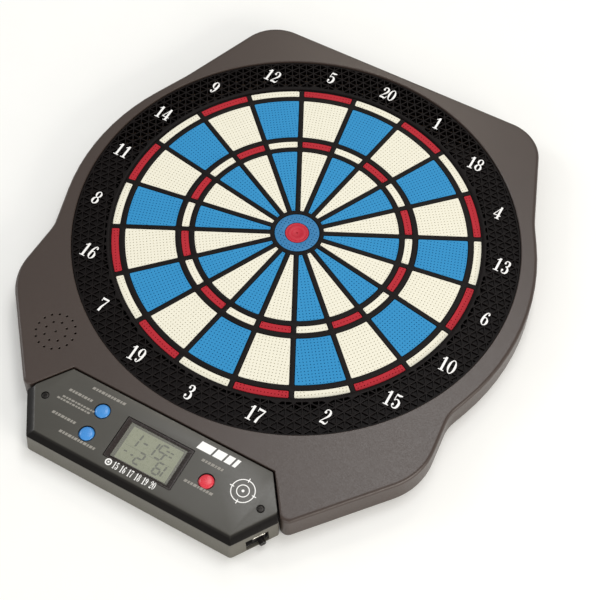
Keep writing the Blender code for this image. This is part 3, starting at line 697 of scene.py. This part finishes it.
def clippedToBand(points, low, high):
    # cuts a small loop by the tangents of two circles about the axis
    cx, cy = sum(p[0] for p in points) / len(points), sum(p[1] for p in points) / len(points)
    size = math.hypot(cx, cy)
    nx, ny = cx / size, cy / size
    for limit, sign in ((low, 1), (high, -1)):
        kept = []
        for a, b in zip(points, points[1:] + points[:1]):
            da, db = sign * (a[0] * nx + a[1] * ny - limit), sign * (b[0] * nx + b[1] * ny - limit)
            if da >= 0:
                kept.append(a)
            if (da >= 0) != (db >= 0):
                t = da / (da - db)
                kept.append((a[0] + (b[0] - a[0]) * t, a[1] + (b[1] - a[1]) * t))
        points = kept
        if len(points) < 3:
            return []
    return points


def makeRing():
    shape = ringShape
    lattice = loopsToMesh("ringLattice", [circlePoints(shape["outer"], 180),
                                          circlePoints(shape["flat from"] + 0.1, 160)]
                          + latticeHoles(), shape["base"], shape["top"], 0.18)

    def build(mesh):
        mesh.from_mesh(lattice)
        edge = shape["inner"]
        profile = [(shape["flat from"] + 0.4, shape["base"]), (edge, shape["base"]),
                   (edge, shape["base"] + 0.6),
                   (edge + 0.3, shape["base"] + 0.95), (shape["flat from"] - 0.4, shape["top"] - 0.12),
                   (shape["flat from"] + 0.4, shape["top"])]
        turnedInto(mesh, profile, 160)
    finishObject("numberRing", meshFrom("numberRing", build, 40.0), "housing", gridNylon,
                 ("number_ring",))


# strokes of the numerals in a box 0.56 wide and 1 high: (x, y, width) points, rings and balls
numeralStrokes = {
    "0": (("loop", 0.28, 0.5, 0.205, 0.462, 0.065, 0.18),),
    "1": (("line", (0.29, 0.03, 0.18), (0.29, 0.97, 0.18)),
          ("line", (0.30, 0.95, 0.05), (0.19, 0.85, 0.07), (0.09, 0.79, 0.05)),
          ("line", (0.10, 0.03, 0.06), (0.48, 0.03, 0.06))),
    "2": (("ball", 0.135, 0.745, 0.095), ("line", (0.10, 0.78, 0.05), (0.16, 0.92, 0.06),
                                          (0.29, 0.965, 0.07), (0.42, 0.88, 0.14),
           (0.45, 0.72, 0.18), (0.39, 0.55, 0.13), (0.25, 0.35, 0.07), (0.12, 0.17, 0.05),
                                          (0.07, 0.06, 0.04)),
          ("line", (0.06, 0.05, 0.09), (0.24, 0.09, 0.15), (0.40, 0.06, 0.13), (0.49, 0.12, 0.06),
           (0.53, 0.27, 0.04))),
    "3": (("ball", 0.135, 0.775, 0.085), ("line", (0.10, 0.80, 0.05), (0.15, 0.92, 0.06),
                                          (0.27, 0.965, 0.07), (0.40, 0.90, 0.14),
           (0.43, 0.75, 0.17), (0.37, 0.60, 0.10), (0.23, 0.54, 0.05)),
          ("line", (0.23, 0.54, 0.05), (0.39, 0.49, 0.10), (0.46, 0.30, 0.19), (0.41, 0.11, 0.14),
           (0.27, 0.035, 0.07),
           (0.13, 0.08, 0.05), (0.08, 0.19, 0.05)), ("ball", 0.125, 0.235, 0.09)),
    "4": (("line", (0.38, 0.03, 0.17), (0.38, 0.98, 0.17)),
          ("line", (0.39, 0.96, 0.06), (0.05, 0.30, 0.05)),
          ("line", (0.02, 0.28, 0.07), (0.55, 0.28, 0.07)),
          ("line", (0.22, 0.03, 0.06), (0.54, 0.03, 0.06))),
    "5": (("line", (0.11, 0.92, 0.12), (0.30, 0.90, 0.15), (0.48, 0.95, 0.06)),
          ("line", (0.11, 0.97, 0.06), (0.09, 0.51, 0.05)),
          ("line", (0.09, 0.51, 0.04), (0.20, 0.61, 0.06), (0.33, 0.60, 0.10), (0.45, 0.47, 0.17),
           (0.46, 0.29, 0.19),
           (0.40, 0.11, 0.14), (0.27, 0.035, 0.07), (0.13, 0.08, 0.05), (0.08, 0.19, 0.05)),
          ("ball", 0.125, 0.235, 0.09)),
    "6": (("loop", 0.30, 0.31, 0.175, 0.27, 0.06, 0.18),
          ("line", (0.125, 0.33, 0.17), (0.14, 0.56, 0.16), (0.20, 0.79, 0.11),
           (0.31, 0.955, 0.05), (0.42, 0.93, 0.05), (0.46, 0.86, 0.04)), ("ball", 0.415, 0.835, 0.075)),
    "7": (("line", (0.05, 0.90, 0.15), (0.50, 0.90, 0.13)),
          ("line", (0.055, 0.98, 0.05), (0.055, 0.72, 0.04)),
          ("line", (0.50, 0.93, 0.06), (0.38, 0.62, 0.09), (0.28, 0.33, 0.15), (0.245, 0.03, 0.19))),
    "8": (("loop", 0.28, 0.745, 0.165, 0.22, 0.06, 0.15), ("loop", 0.28, 0.27, 0.185, 0.235, 0.07, 0.18)),
}


def smoothPath(points):
    # a rounded run through points of any number of values, six parts to each stretch
    if len(points) < 3:
        return points
    found = []
    last = len(points) - 1
    for index in range(last):
        p = [points[max(0, min(last, index + k))] for k in (-1, 0, 1, 2)]
        for part in range(6):
            t = part / 6
            found.append(tuple(0.5 * (2 * b + (c - a) * t + (2 * a - 5 * b + 4 * c - d) * t * t
                                      + (3 * b - a - 3 * c + d) * t ** 3) for a, b, c, d in zip(*p)))
    return found + [points[-1]]


def strokeOutline(stroke, weight):
    # outer and inner edges of one stroke, in the numeral's box; weight thins or thickens it
    kind, *values = stroke
    if kind == "ball":
        x, y, radius = values
        return circlePoints(radius * weight, 16, (x, y)), None
    if kind == "loop":
        x, y, rx, ry, thin, thick = values
        thin, thick = thin * weight, thick * weight
        outer, inner = [], []
        for step in range(36):
            c, s = math.cos(2 * math.pi * step / 36), math.sin(2 * math.pi * step / 36)
            width = thin + (thick - thin) * abs(c) ** 1.5
            outer.append((x + (rx + width / 2 * abs(c) ** 0.3) * c, y + (ry + thin / 2) * s))
            inner.append((x + (rx - width / 2) * c, y + (ry - thin / 2) * s))
        return outer, inner
    path = smoothPath(values)
    left, right = [], []
    for index, (x, y, width) in enumerate(path):
        ax, ay = path[max(0, index - 1)][:2]
        bx, by = path[min(len(path) - 1, index + 1)][:2]
        length = math.hypot(bx - ax, by - ay)
        half = width * weight / 2
        nx, ny = -(by - ay) / length * half, (bx - ax) / length * half
        left.append((x + nx, y + ny))
        right.append((x - nx, y - ny))
    return left, right


def addNumeral(mesh, digit, origin, scale, low, high, weight=1.0):
    # one raised numeral: each stroke is a closed body, the next a hair lower, so that no two tops coincide
    turned = digit == "9"
    for index, stroke in enumerate(numeralStrokes["6" if turned else digit]):
        outer, inner = strokeOutline(stroke, weight)
        top = high - 0.01 * index
        columns = []
        for edge in (outer, inner):
            if edge is None:
                continue
            if turned:
                edge = [(0.56 - x, 1.0 - y) for x, y in edge]
            for level in (low, top):
                columns.append([mesh.verts.new(((origin[0] + x * scale[0]) * mm,
                                                (origin[1] + y * scale[1]) * mm, level * mm))
                                for x, y in edge])
        if inner is None:
            mesh.faces.new(columns[0])
            mesh.faces.new(columns[1])
            skin, count = [(columns[0], columns[1])], len(outer)
            reach = count
        else:
            a, b, c, d = columns
            skin, count = [(a, b), (b, d), (d, c), (c, a)], len(outer)
            reach = count if stroke[0] == "loop" else count - 1
            if stroke[0] != "loop":
                mesh.faces.new((a[0], b[0], d[0], c[0]))
                mesh.faces.new((a[-1], b[-1], d[-1], c[-1]))
        for one, two in skin:
            for step in range(reach):
                after = (step + 1) % count
                mesh.faces.new((one[step], one[after], two[after], two[step]))


def makeNumerals():
    shape = ringShape
    tall = shape["numeral height"]
    wide = tall * 0.90
    for index, number in enumerate(targetShape["numbers"]):
        digits = str(number)
        angle = math.radians(90 - 18 * index)
        centre = (shape["numeral radius"] * math.cos(angle), shape["numeral radius"] * math.sin(angle))
        advance = 0.57 * wide

        def build(mesh):
            for place, digit in enumerate(digits):
                x = centre[0] + (place - len(digits) / 2) * advance
                addNumeral(mesh, digit, (x, centre[1] - tall / 2), (wide, tall), shape["top"] - 0.1,
                           shape["top"] + shape["numeral thickness"], shape["numeral weight"])
        finishObject(f"numeral{number}", meshFrom(f"numeral{number}", build), "housing",
                     numberInk)


makeGrid()
makeSegments()
makeBulls()
print("grid, segments and bulls ready")
makeRing()
makeNumerals()
print("number ring ready")


# the module at the bottom: a smoked cover with prints, buttons and a recessed display
moduleShape = {
    "corners": ((98.0, -220.0, 1.5, "upper"), (122.5, -254.5, 2.5, "lower"), (98.0, -291.0, 2.0, "lower")),
    "split": 21.1,
    "top": 25.2,
    "bezel hole": (65.4, 40.5, 1.2),
    "display y": -255.2,
    "button x": 54.3,
    "button y": -253.8,
    "button pitch": 23.6,
    "button hole": 7.0,
    "screws": ((104.5, -253.0), (-104.5, -253.0)),
    "dimple": 3.3,
    "ink": 0.05,
}


def roundedRectangle(width, height, radius, centre=(0.0, 0.0), steps=5):
    points = []
    for index, (sx, sy) in enumerate(((1, 1), (-1, 1), (-1, -1), (1, -1))):
        for step in range(steps + 1):
            angle = math.radians(90 * index + 90 * step / steps)
            points.append((centre[0] + sx * (width / 2 - radius) + radius * math.cos(angle),
                           centre[1] + sy * (height / 2 - radius) + radius * math.sin(angle)))
    return points


def buttonPlaces():
    x, y, half = moduleShape["button x"], moduleShape["button y"], moduleShape["button pitch"] / 2
    return [(-x, y + half), (-x, y - half), (x, y)]


def makeModuleCover():
    shape = moduleShape
    corners = mirroredCorners(shape["corners"])

    def outlineOf(edge, lower):
        return grownOutline(corners, {"upper": -edge, "top": -edge, "lower": -lower}, 9.0)

    low, top = shape["split"], shape["top"]
    outer = [(low, 0.0, 0.0), (low + 0.45, 0.0, 0.0), (low + 0.75, 0.1, 0.35), (top - 0.5, 0.35, 6.1),
             (top - 0.15, 0.5, 6.8),
             (top, 0.8, 7.6)]
    solid = meshFrom("coverSolid", lambda mesh: ringLoft(mesh, [(z, outlineOf(a, b)) for z, a, b in outer]),
                     30.0)
    hollow = meshFrom("coverHollow", lambda mesh: ringLoft(mesh, [(low - 1.0, outlineOf(2.6, 2.0)),
                                                                  (top - 2.0, outlineOf(2.6, 7.4))]))
    cutter = bmesh.new()
    hole = shape["button hole"]
    for x, y in buttonPlaces():
        profile = [(0.0, 20.0), (hole, 20.0), (hole, top - 0.3), (hole + 0.3, top), (hole + 0.3, 28.0),
                   (0.0, 28.0)]
        turnedInto(cutter, profile, 48, Matrix.Translation((x, y, 0.0)))
    hole = shape["dimple"]
    for x, y in shape["screws"]:
        profile = [(0.0, 20.0), (1.6, 20.0), (1.6, top - 1.2), (hole, top - 1.2), (hole, top - 0.25),
                   (hole + 0.3, top),
                   (hole + 0.3, 28.0), (0.0, 28.0)]
        turnedInto(cutter, profile, 32, Matrix.Translation((x, y, 0.0)))
    opening = roundedRectangle(*shape["bezel hole"], (0.0, shape["display y"]))
    ringLoft(cutter, [(20.0, opening), (28.0, opening)])
    bmesh.ops.recalc_face_normals(cutter, faces=cutter.faces)
    holes = bpy.data.meshes.new("coverHoles")
    cutter.to_mesh(holes)
    cutter.free()
    finishObject("moduleCover", carved(solid, [hollow, holes], 30.0), "housing", coverAbs,
                 ("module_cover",))


# display: a dark surround with sloping sides, its glass and seven-segment figures
displayShape = {
    "surround": (64.8, 39.9),
    "opening": (54.8, 34.4),
    "stroke": 1.9,
    "slant": 0.10,
    "figure scale": 0.87,
    "mask": (48.8, 31.2),        # clear part inside the dark print round the glass
    "figures": (                 # figure, left, foot, width and height
        ("1", -19.5, -255.4, 3.0, 15.0), ("-", -12.2, -255.4, 6.0, 15.0), ("1", -1.0, -255.4, 3.0, 15.0),
        ("5", 4.8, -255.4, 7.4, 15.0), ("-", -16.8, -270.0, 4.0, 12.6), ("2", -10.0, -270.0, 6.6, 12.6),
        ("6", 11.0, -270.0, 6.4, 12.6), ("1", 17.4, -270.0, 3.0, 12.6)),
    "dashes": ((12.6, -244.9, 3.6), (17.2, -244.9, 3.6), (12.6, -248.9, 3.6), (17.2, -248.9, 3.6),
               (-23.6, -263.6, 3.6)),
}
litBars = {"1": "bc", "2": "abged", "5": "afgcd", "6": "afgecd", "-": "g"}


def figureBars(figure, left, foot, width, height, stroke, slant):
    # loops of the lit bars of a seven-segment figure
    right, top, middle = left + width, foot + height, foot + height / 2
    ends = {"a": ((left, top), (right, top)), "g": ((left, middle), (right, middle)),
            "d": ((left, foot), (right, foot)),
            "f": ((left, middle), (left, top)), "b": ((right, middle), (right, top)),
            "e": ((left, foot), (left, middle)),
            "c": ((right, foot), (right, middle))}
    half, gap = stroke / 2, 0.25
    loops = []
    for bar in litBars[figure]:
        (ax, ay), (bx, by) = ends[bar]
        length = math.hypot(bx - ax, by - ay)
        ux, uy = (bx - ax) / length, (by - ay) / length
        points = [(gap, 0), (gap + half, half), (length - gap - half, half), (length - gap, 0),
                  (length - gap - half, -half),
                  (gap + half, -half)]
        loop = [(ax + ux * s - uy * t, ay + uy * s + ux * t) for s, t in points]
        loops.append([(x + (y - foot) * slant, y) for x, y in loop])
    return loops


def makeDisplay():
    shape = displayShape
    centre = (0.0, moduleShape["display y"])
    wide, tall = shape["surround"]
    openWide, openTall = shape["opening"]
    steps = [(22.0, wide, tall, 1.0), (24.7, wide, tall, 1.0), (25.0, wide - 0.6, tall - 0.6, 0.8),
             (25.0, wide - 3.0, tall - 2.4, 0.7),
             (24.75, wide - 3.6, tall - 3.0, 0.6), (23.3, openWide + 0.5, openTall + 0.5, 0.6),
             (23.1, openWide, openTall, 0.5),
             (22.0, openWide, openTall, 0.5)]
    levels = [(z, roundedRectangle(w, h, r, centre)) for z, w, h, r in steps]
    surround = meshFrom("displaySurround", lambda mesh: ringLoft(mesh, levels, True), 25.0)
    finishObject("displaySurround", surround, "housing", bezelAbs, ("display_bezel",))

    outer = roundedRectangle(openWide - 0.3, openTall - 0.3, 0.5, centre)
    inner = roundedRectangle(*shape["mask"], 0.6, centre)
    mask = meshFrom("displayMask", lambda mesh: ringLoft(mesh,
                                                         [(21.72, outer), (21.84, outer), (21.84, inner),
                                                          (21.72, inner)], True))
    finishObject("displayMask", mask, "housing", bezelAbs)

    def drawn(mesh, loop, high=21.80):
        reach = shape["figure scale"]
        placed = [(x * reach, centre[1] + (y - centre[1]) * reach) for x, y in loop]
        ringLoft(mesh, [(21.72, placed), (high, placed)])

    def figures(mesh):
        for figure in shape["figures"]:
            for loop in figureBars(*figure, shape["stroke"], shape["slant"]):
                drawn(mesh, loop)
        for x, y, length in shape["dashes"]:
            drawn(mesh, [(x, y), (x + length, y), (x + length - 0.3, y + 1.5), (x + 0.3, y + 1.5)])
        drawn(mesh, [(-26.0, -256.9), (26.0, -256.9), (26.0, -256.65), (-26.0, -256.65)], 21.76)
    finishObject("displayFigures", meshFrom("displayFigures", figures), "housing", lcdInk)


# plain prints on the cover: short dashes where the labels are, a row of numbers and a target mark
printShape = {
    "dash rows": (               # left, right, foot and height of each row
        (-73.5, -40.5, -228.6, 2.4), (-90.0, -67.0, -239.6, 2.4), (-91.5, -60.0, -247.0, 1.7),
                  (-95.0, -61.5, -250.0, 1.7),
        (-91.0, -67.5, -263.6, 2.4), (-76.0, -40.5, -275.4, 2.4), (41.0, 61.0, -240.2, 2.4),
                  (37.5, 64.5, -262.6, 2.4)),
    "dash lengths": (2.6, 1.7, 2.1, 3.0, 1.5),
    "gap": 0.8,
    "slant": 0.25,
    "bars": ((31.5, 13.5), (46.8, 9.0), (57.6, 6.0), (65.4, 3.2)),     # left and length
    "bar foot": -232.2,
    "bar height": 7.6,
    "numbers": (15, 16, 17, 18, 19, 20),
    "first number": -17.4,
    "number step": 7.1,
    "number foot": -281.4,
    "number size": (4.1, 6.6),
    "bull mark": (-24.6, -278.1),
    "target mark": (84.5, -246.5),
}


def makePrints():
    shape = printShape
    low, high = moduleShape["top"], moduleShape["top"] + moduleShape["ink"]

    def slantedBar(mesh, left, right, foot, height):
        lean = height * shape["slant"]
        loop = [(left, foot), (right, foot), (right + lean, foot + height), (left + lean, foot + height)]
        ringLoft(mesh, [(low, loop), (high, loop)])

    def ring(mesh, centre, outer, inner):
        at = Matrix.Translation((*centre, 0.0))
        turnedInto(mesh, [(inner, low), (outer, low), (outer, high), (inner, high)], 48, at)

    def labels(mesh):
        for left, right, foot, height in shape["dash rows"]:
            x, index = left, 0
            while x < right - 1.0:
                length = min(shape["dash lengths"][index % 5], right - x)
                slantedBar(mesh, x, x + length, foot, height)
                x += length + shape["gap"]
                index += 1
    finishObject("coverLabels", meshFrom("coverLabels", labels), "housing", labelInk)

    def build(mesh):
        for left, length in shape["bars"]:
            slantedBar(mesh, left, left + length, shape["bar foot"], shape["bar height"])
        wide, tall = shape["number size"]
        for index, number in enumerate(shape["numbers"]):
            x = shape["first number"] + index * shape["number step"]
            for place, digit in enumerate(str(number)):
                addNumeral(mesh, digit, (x + (place - 1) * 0.62 * wide, shape["number foot"]), (wide, tall),
                           low, high + 0.03)
        ring(mesh, shape["bull mark"], 3.0, 1.9)
        ring(mesh, shape["bull mark"], 0.9, 0.0)
        for outer, inner in ((10.4, 9.6), (5.6, 4.8), (1.2, 0.0)):
            ring(mesh, shape["target mark"], outer, inner)
        x, y = shape["target mark"]
        for angle in range(0, 360, 90):
            loop = [(x + px, y + py) for px, py in spun([(8.4, -0.4), (12.2, -0.4), (12.2, 0.4),
                                                         (8.4, 0.4)], angle)]
            ringLoft(mesh, [(low, loop), (high + 0.02, loop)])
    finishObject("coverPrints", meshFrom("coverPrints", build), "housing", numberInk)


def makeButtons():
    profile = [(0.0, 26.3), (1.6, 26.27), (3.2, 26.15), (4.5, 25.92), (5.4, 25.6), (6.0, 25.15),
               (6.3, 24.6), (6.4, 24.0),
               (6.4, 22.9), (8.4, 22.9), (8.4, 22.1), (0.0, 22.1)]
    for node, name, material, place in (("upper_blue_button", "buttonUpperBlue", buttonBlue, 0),
                                        ("lower_blue_button", "buttonLowerBlue", buttonBlue, 1),
                                        ("red_button", "buttonRed", buttonRed, 2)):
        at = Matrix.Translation((*buttonPlaces()[place], 0.0))
        data = meshFrom(name, lambda mesh: turnedInto(mesh, profile, 64, at))
        finishObject(name, data, node + "_body", material,
                     (node,))


# self-tapping screws with a cross recess, six from behind and two in the cover's dimples
screwShape = {
    "rear": ((0.0, 15.0), (0.5, 14.2), (1.2, 12.6), (1.2, 1.6), (2.85, 1.6), (3.0, 1.35), (2.9, 0.95),
             (2.4, 0.65), (1.5, 0.52),
             (0.0, 0.5)),
    "front": ((0.0, 10.0), (0.5, 10.8), (1.2, 12.4), (1.2, 24.3), (2.85, 24.3), (3.0, 24.45), (2.8, 24.75),
              (2.2, 24.93),
              (1.2, 24.99), (0.0, 25.0)),
    "cross": (3.1, 0.75, 0.6),   # length, width and depth of the recess
}


def makeScrews():
    length, width, depth = screwShape["cross"]
    for kind, sites, material in (("rear", frameShape["screws"], screwZinc),
                                  ("front", moduleShape["screws"], screwDark)):
        profile = screwShape[kind]
        head = profile[-1][1]
        for index, (x, y) in enumerate([(x * side, y) for x, y in sites[:3] for side in (1, -1)]
                                       if kind == "rear" else sites):
            at = Matrix.Translation((x, y, 0.0)) @ Matrix.Rotation(math.radians(23 + 31 * index), 4, "Z")
            data = meshFrom("screw", lambda mesh: turnedInto(mesh, profile, 40, at), 35.0)
            cutters = []
            for sides in ((length, width), (width, length)):
                cutter = bmesh.new()
                middle = Matrix.Translation((0.0, 0.0, head)) @ Matrix.Diagonal((*sides, 2 * depth, 1.0))
                bmesh.ops.create_cube(cutter, size=1.0, matrix=Matrix.Scale(mm, 4) @ at @ middle)
                arm = bpy.data.meshes.new("crossArm")
                cutter.to_mesh(arm)
                cutter.free()
                cutters.append(arm)
            data = carved(data, cutters, 35.0)
            if kind == "rear":
                name, node = f"screwRear{index + 1}", f"rear_screw_{index + 1}"
            else:
                name, node = f"screwModule{index + 1}", ("right_module_screw", "left_module_screw")[index]
            finishObject(name, data, "housing", material, (node,))


# power socket behind the window in the module's lower right wall
socketShape = {
    "centre": (113.0, -268.6),
    "outward": (0.8303, -0.5573),
    "level": 6.0,
    "block": (-5.0, 7.0, -2.6, 7.5),     # along the wall and up from the nose's axis
    "depth": (-10.0, -0.5),
}


def makeSocket():
    shape = socketShape
    ox, oy = shape["outward"]
    axes = Matrix(((oy, 0.0, ox), (-ox, 0.0, oy), (0.0, 1.0, 0.0))).to_4x4()
    at = Matrix.Translation((*shape["centre"], shape["level"])) @ axes
    scaled = Matrix.Translation(Vector((*shape["centre"], shape["level"])) * mm) @ axes
    left, right, low, high = shape["block"]
    loop = roundedRectangle(right - left, high - low, 0.8, ((left + right) / 2, (low + high) / 2))
    block = loopsToMesh("socketBlock", [loop, circlePoints(1.75, 32)], *shape["depth"], 0.4, 30.0, 1)
    block.transform(scaled)

    def build(mesh):
        mesh.from_mesh(block)
        profile = [(1.7, -2.0), (2.9, -2.0), (2.9, 4.2), (3.0, 4.4), (3.0, 5.2), (2.7, 5.6), (2.1, 5.6),
                   (1.7, 5.1)]
        turnedInto(mesh, profile, 40, at)
    finishObject("socketBody", meshFrom("socketBody", build, 35.0), "housing", jackNylon,
                 ("power_jack",))
    pin = meshFrom("socketPin", lambda mesh: turnedInto(mesh,
                                                        [(0.0, -9.0), (0.75, -9.0), (0.75, 4.2), (0.5, 4.6),
                                                         (0.0, 4.7)],
                                                        24, at))
    finishObject("socketPin", pin, "housing", springSteel, ("power_jack",))
    strip = [(-4.4, 5.0), (6.4, 5.0), (6.4, 6.4), (-4.4, 6.4)]
    contact = loopsToMesh("socketContact", [strip], -0.6, 0.1, 0.15, 30.0)
    contact.transform(scaled)
    finishObject("socketContact", contact, "housing", springSteel, ("power_jack",))


screwDark = metalFinish("blackOxideSteel", "#3d3b39", "#2c2a29", 0.42, 0.6)
makeModuleCover()
makeDisplay()
makePrints()
makeButtons()
print("module ready")
makeScrews()
makeSocket()
print("screws and socket ready")


def clearAcrylic(name):
    # cast acrylic pane, polished: nearly all of it is see-through and the rest is a hard bright gloss.
    # Faint rubbing marks vary the gloss; a mark is about 0.3 mm wide and is drawn at 1.5 mm
    material = bpy.data.materials.new(name)
    material.use_nodes = True
    tree = material.node_tree
    shader = tree.nodes["Principled BSDF"]
    shader.inputs["IOR"].default_value = 1.49
    shader.inputs["Alpha"].default_value = 0.14
    place = addNode(tree, "ShaderNodeTexCoord", {})
    rubbed = addNode(tree, "ShaderNodeTexNoise", {"Scale": 1 / (1.5 * mm), "Detail": 2.0},
                     {"Vector": place.outputs["Object"]})
    tint = addNode(tree, "ShaderNodeMix", {"data_type": "RGBA", 6: hexToLinear("#c9cbbd"),
                                           7: hexToLinear("#d3d5c8")},
                   {0: rubbed.outputs["Fac"]})
    sheen = addNode(tree, "ShaderNodeMapRange", {"To Min": 0.03, "To Max": 0.09},
                    {"Value": rubbed.outputs["Fac"]})
    tree.links.new(tint.outputs[2], shader.inputs["Base Color"])
    tree.links.new(sheen.outputs["Result"], shader.inputs["Roughness"])
    return material


def pressedFibre(name, light, dark, fibre):
    # fibres pressed or glued together: short streaks of two tones, matt, with a felt-like relief
    material = bpy.data.materials.new(name)
    material.use_nodes = True
    tree = material.node_tree
    shader = tree.nodes["Principled BSDF"]
    place = addNode(tree, "ShaderNodeTexCoord", {})
    drawn = addNode(tree, "ShaderNodeMapping", {"Scale": (1.0, 0.25, 1.0)},
                    {"Vector": place.outputs["Object"]})
    fibres = addNode(tree, "ShaderNodeTexNoise",
                     {"Scale": 1 / (fibre * mm), "Detail": 6.0, "Roughness": 0.7, "Distortion": 1.2},
                     {"Vector": drawn.outputs["Vector"]})
    tint = addNode(tree, "ShaderNodeMix", {"data_type": "RGBA", 6: hexToLinear(dark),
                                           7: hexToLinear(light)},
                   {0: fibres.outputs["Fac"]})
    sheen = addNode(tree, "ShaderNodeMapRange", {"To Min": 0.7, "To Max": 0.95},
                    {"Value": fibres.outputs["Fac"]})
    relief = addNode(tree, "ShaderNodeBump", {"Strength": 1.0, "Distance": 0.1 * mm},
                     {"Height": fibres.outputs["Fac"]})
    tree.links.new(tint.outputs[2], shader.inputs["Base Color"])
    tree.links.new(sheen.outputs["Result"], shader.inputs["Roughness"])
    tree.links.new(relief.outputs["Normal"], shader.inputs["Normal"])
    return material


def printedBands(name, colours, step, axis):
    # a glossy sleeve or laminate printed in even bands, step millimetres apart along one axis
    material = bpy.data.materials.new(name)
    material.use_nodes = True
    tree = material.node_tree
    shader = tree.nodes["Principled BSDF"]
    place = addNode(tree, "ShaderNodeTexCoord", {})
    split = addNode(tree, "ShaderNodeSeparateXYZ", {}, {"Vector": place.outputs["Object"]})
    wave = addNode(tree, "ShaderNodeMath", {"operation": "PINGPONG", 1: step * mm},
                   {0: split.outputs[axis]})
    band = addNode(tree, "ShaderNodeMath", {"operation": "GREATER_THAN", 1: step * mm * 0.62},
                   {0: wave.outputs[0]})
    speck = addNode(tree, "ShaderNodeTexNoise", {"Scale": 1 / (1.5 * mm), "Detail": 2.0},
                    {"Vector": place.outputs["Object"]})
    tint = addNode(tree, "ShaderNodeMix", {"data_type": "RGBA", 6: hexToLinear(colours[0]),
                                           7: hexToLinear(colours[1])},
                   {0: band.outputs[0]})
    sheen = addNode(tree, "ShaderNodeMapRange", {"To Min": 0.22, "To Max": 0.36},
                    {"Value": speck.outputs["Fac"]})
    tree.links.new(tint.outputs[2], shader.inputs["Base Color"])
    tree.links.new(sheen.outputs["Result"], shader.inputs["Roughness"])
    return material


# CAD nodes whose shape stays get their finish here
# dead matt
matRubber = mouldedPlastic("blackRubberMoulded", "#191919", "#222121", 0.85, 2.0, 0.08)
# pale glossy traces
sensorFilm = printedBands("silverInkPolyester", ("#b9bfb8", "#8d938f"), 4.0, "X")
speakerPaper = pressedFibre("blackConePaper", "#2a2a2a", "#161616", 1.2)
foamRing = pressedFibre("blackFoamCut", "#2e2e2e", "#141414", 0.8)
siliconePad = mouldedPlastic("greySiliconeMoulded", "#b4b4ae", "#bfbfb9", 0.6, 1.5, 0.02, 1.41)
# tracks under the mask
boardLaminate = printedBands("greenSolderMask", ("#1b5a34", "#2a7647"), 3.0, "Y")
cellSleeve = printedBands("shrunkSleeve", ("#20222a", "#b08a3c"), 24.0, "X")
nodeFinishes = {
    "rear_cover": rearAbs, "battery_door": rearAbs, "module_base": baseAbs,
    "display_window": clearAcrylic("clearAcrylicPane"),
    "lcd_panel": lcdFilm, "rubber_mat": matRubber, "sensor_membrane": sensorFilm, "speaker": speakerPaper,
    "backing_board": pressedFibre("brownHardboard", "#8a6a48", "#5c432c", 1.5), "speaker_gasket": foamRing,
    "left_button_pad": siliconePad, "right_button_pad": siliconePad, "control_board": boardLaminate,
    "cell_1": cellSleeve,
    "cell_2": cellSleeve, "cell_3": cellSleeve, "left_contacts": springSteel, "right_contacts": springSteel,
}
for nodeName, finish in nodeFinishes.items():
    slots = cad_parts[nodeName].material_slots
    for slotHere in slots:
        slotHere.material = finish
    if not slots:
        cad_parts[nodeName].data.materials.append(finish)
print("carried-over parts finished")
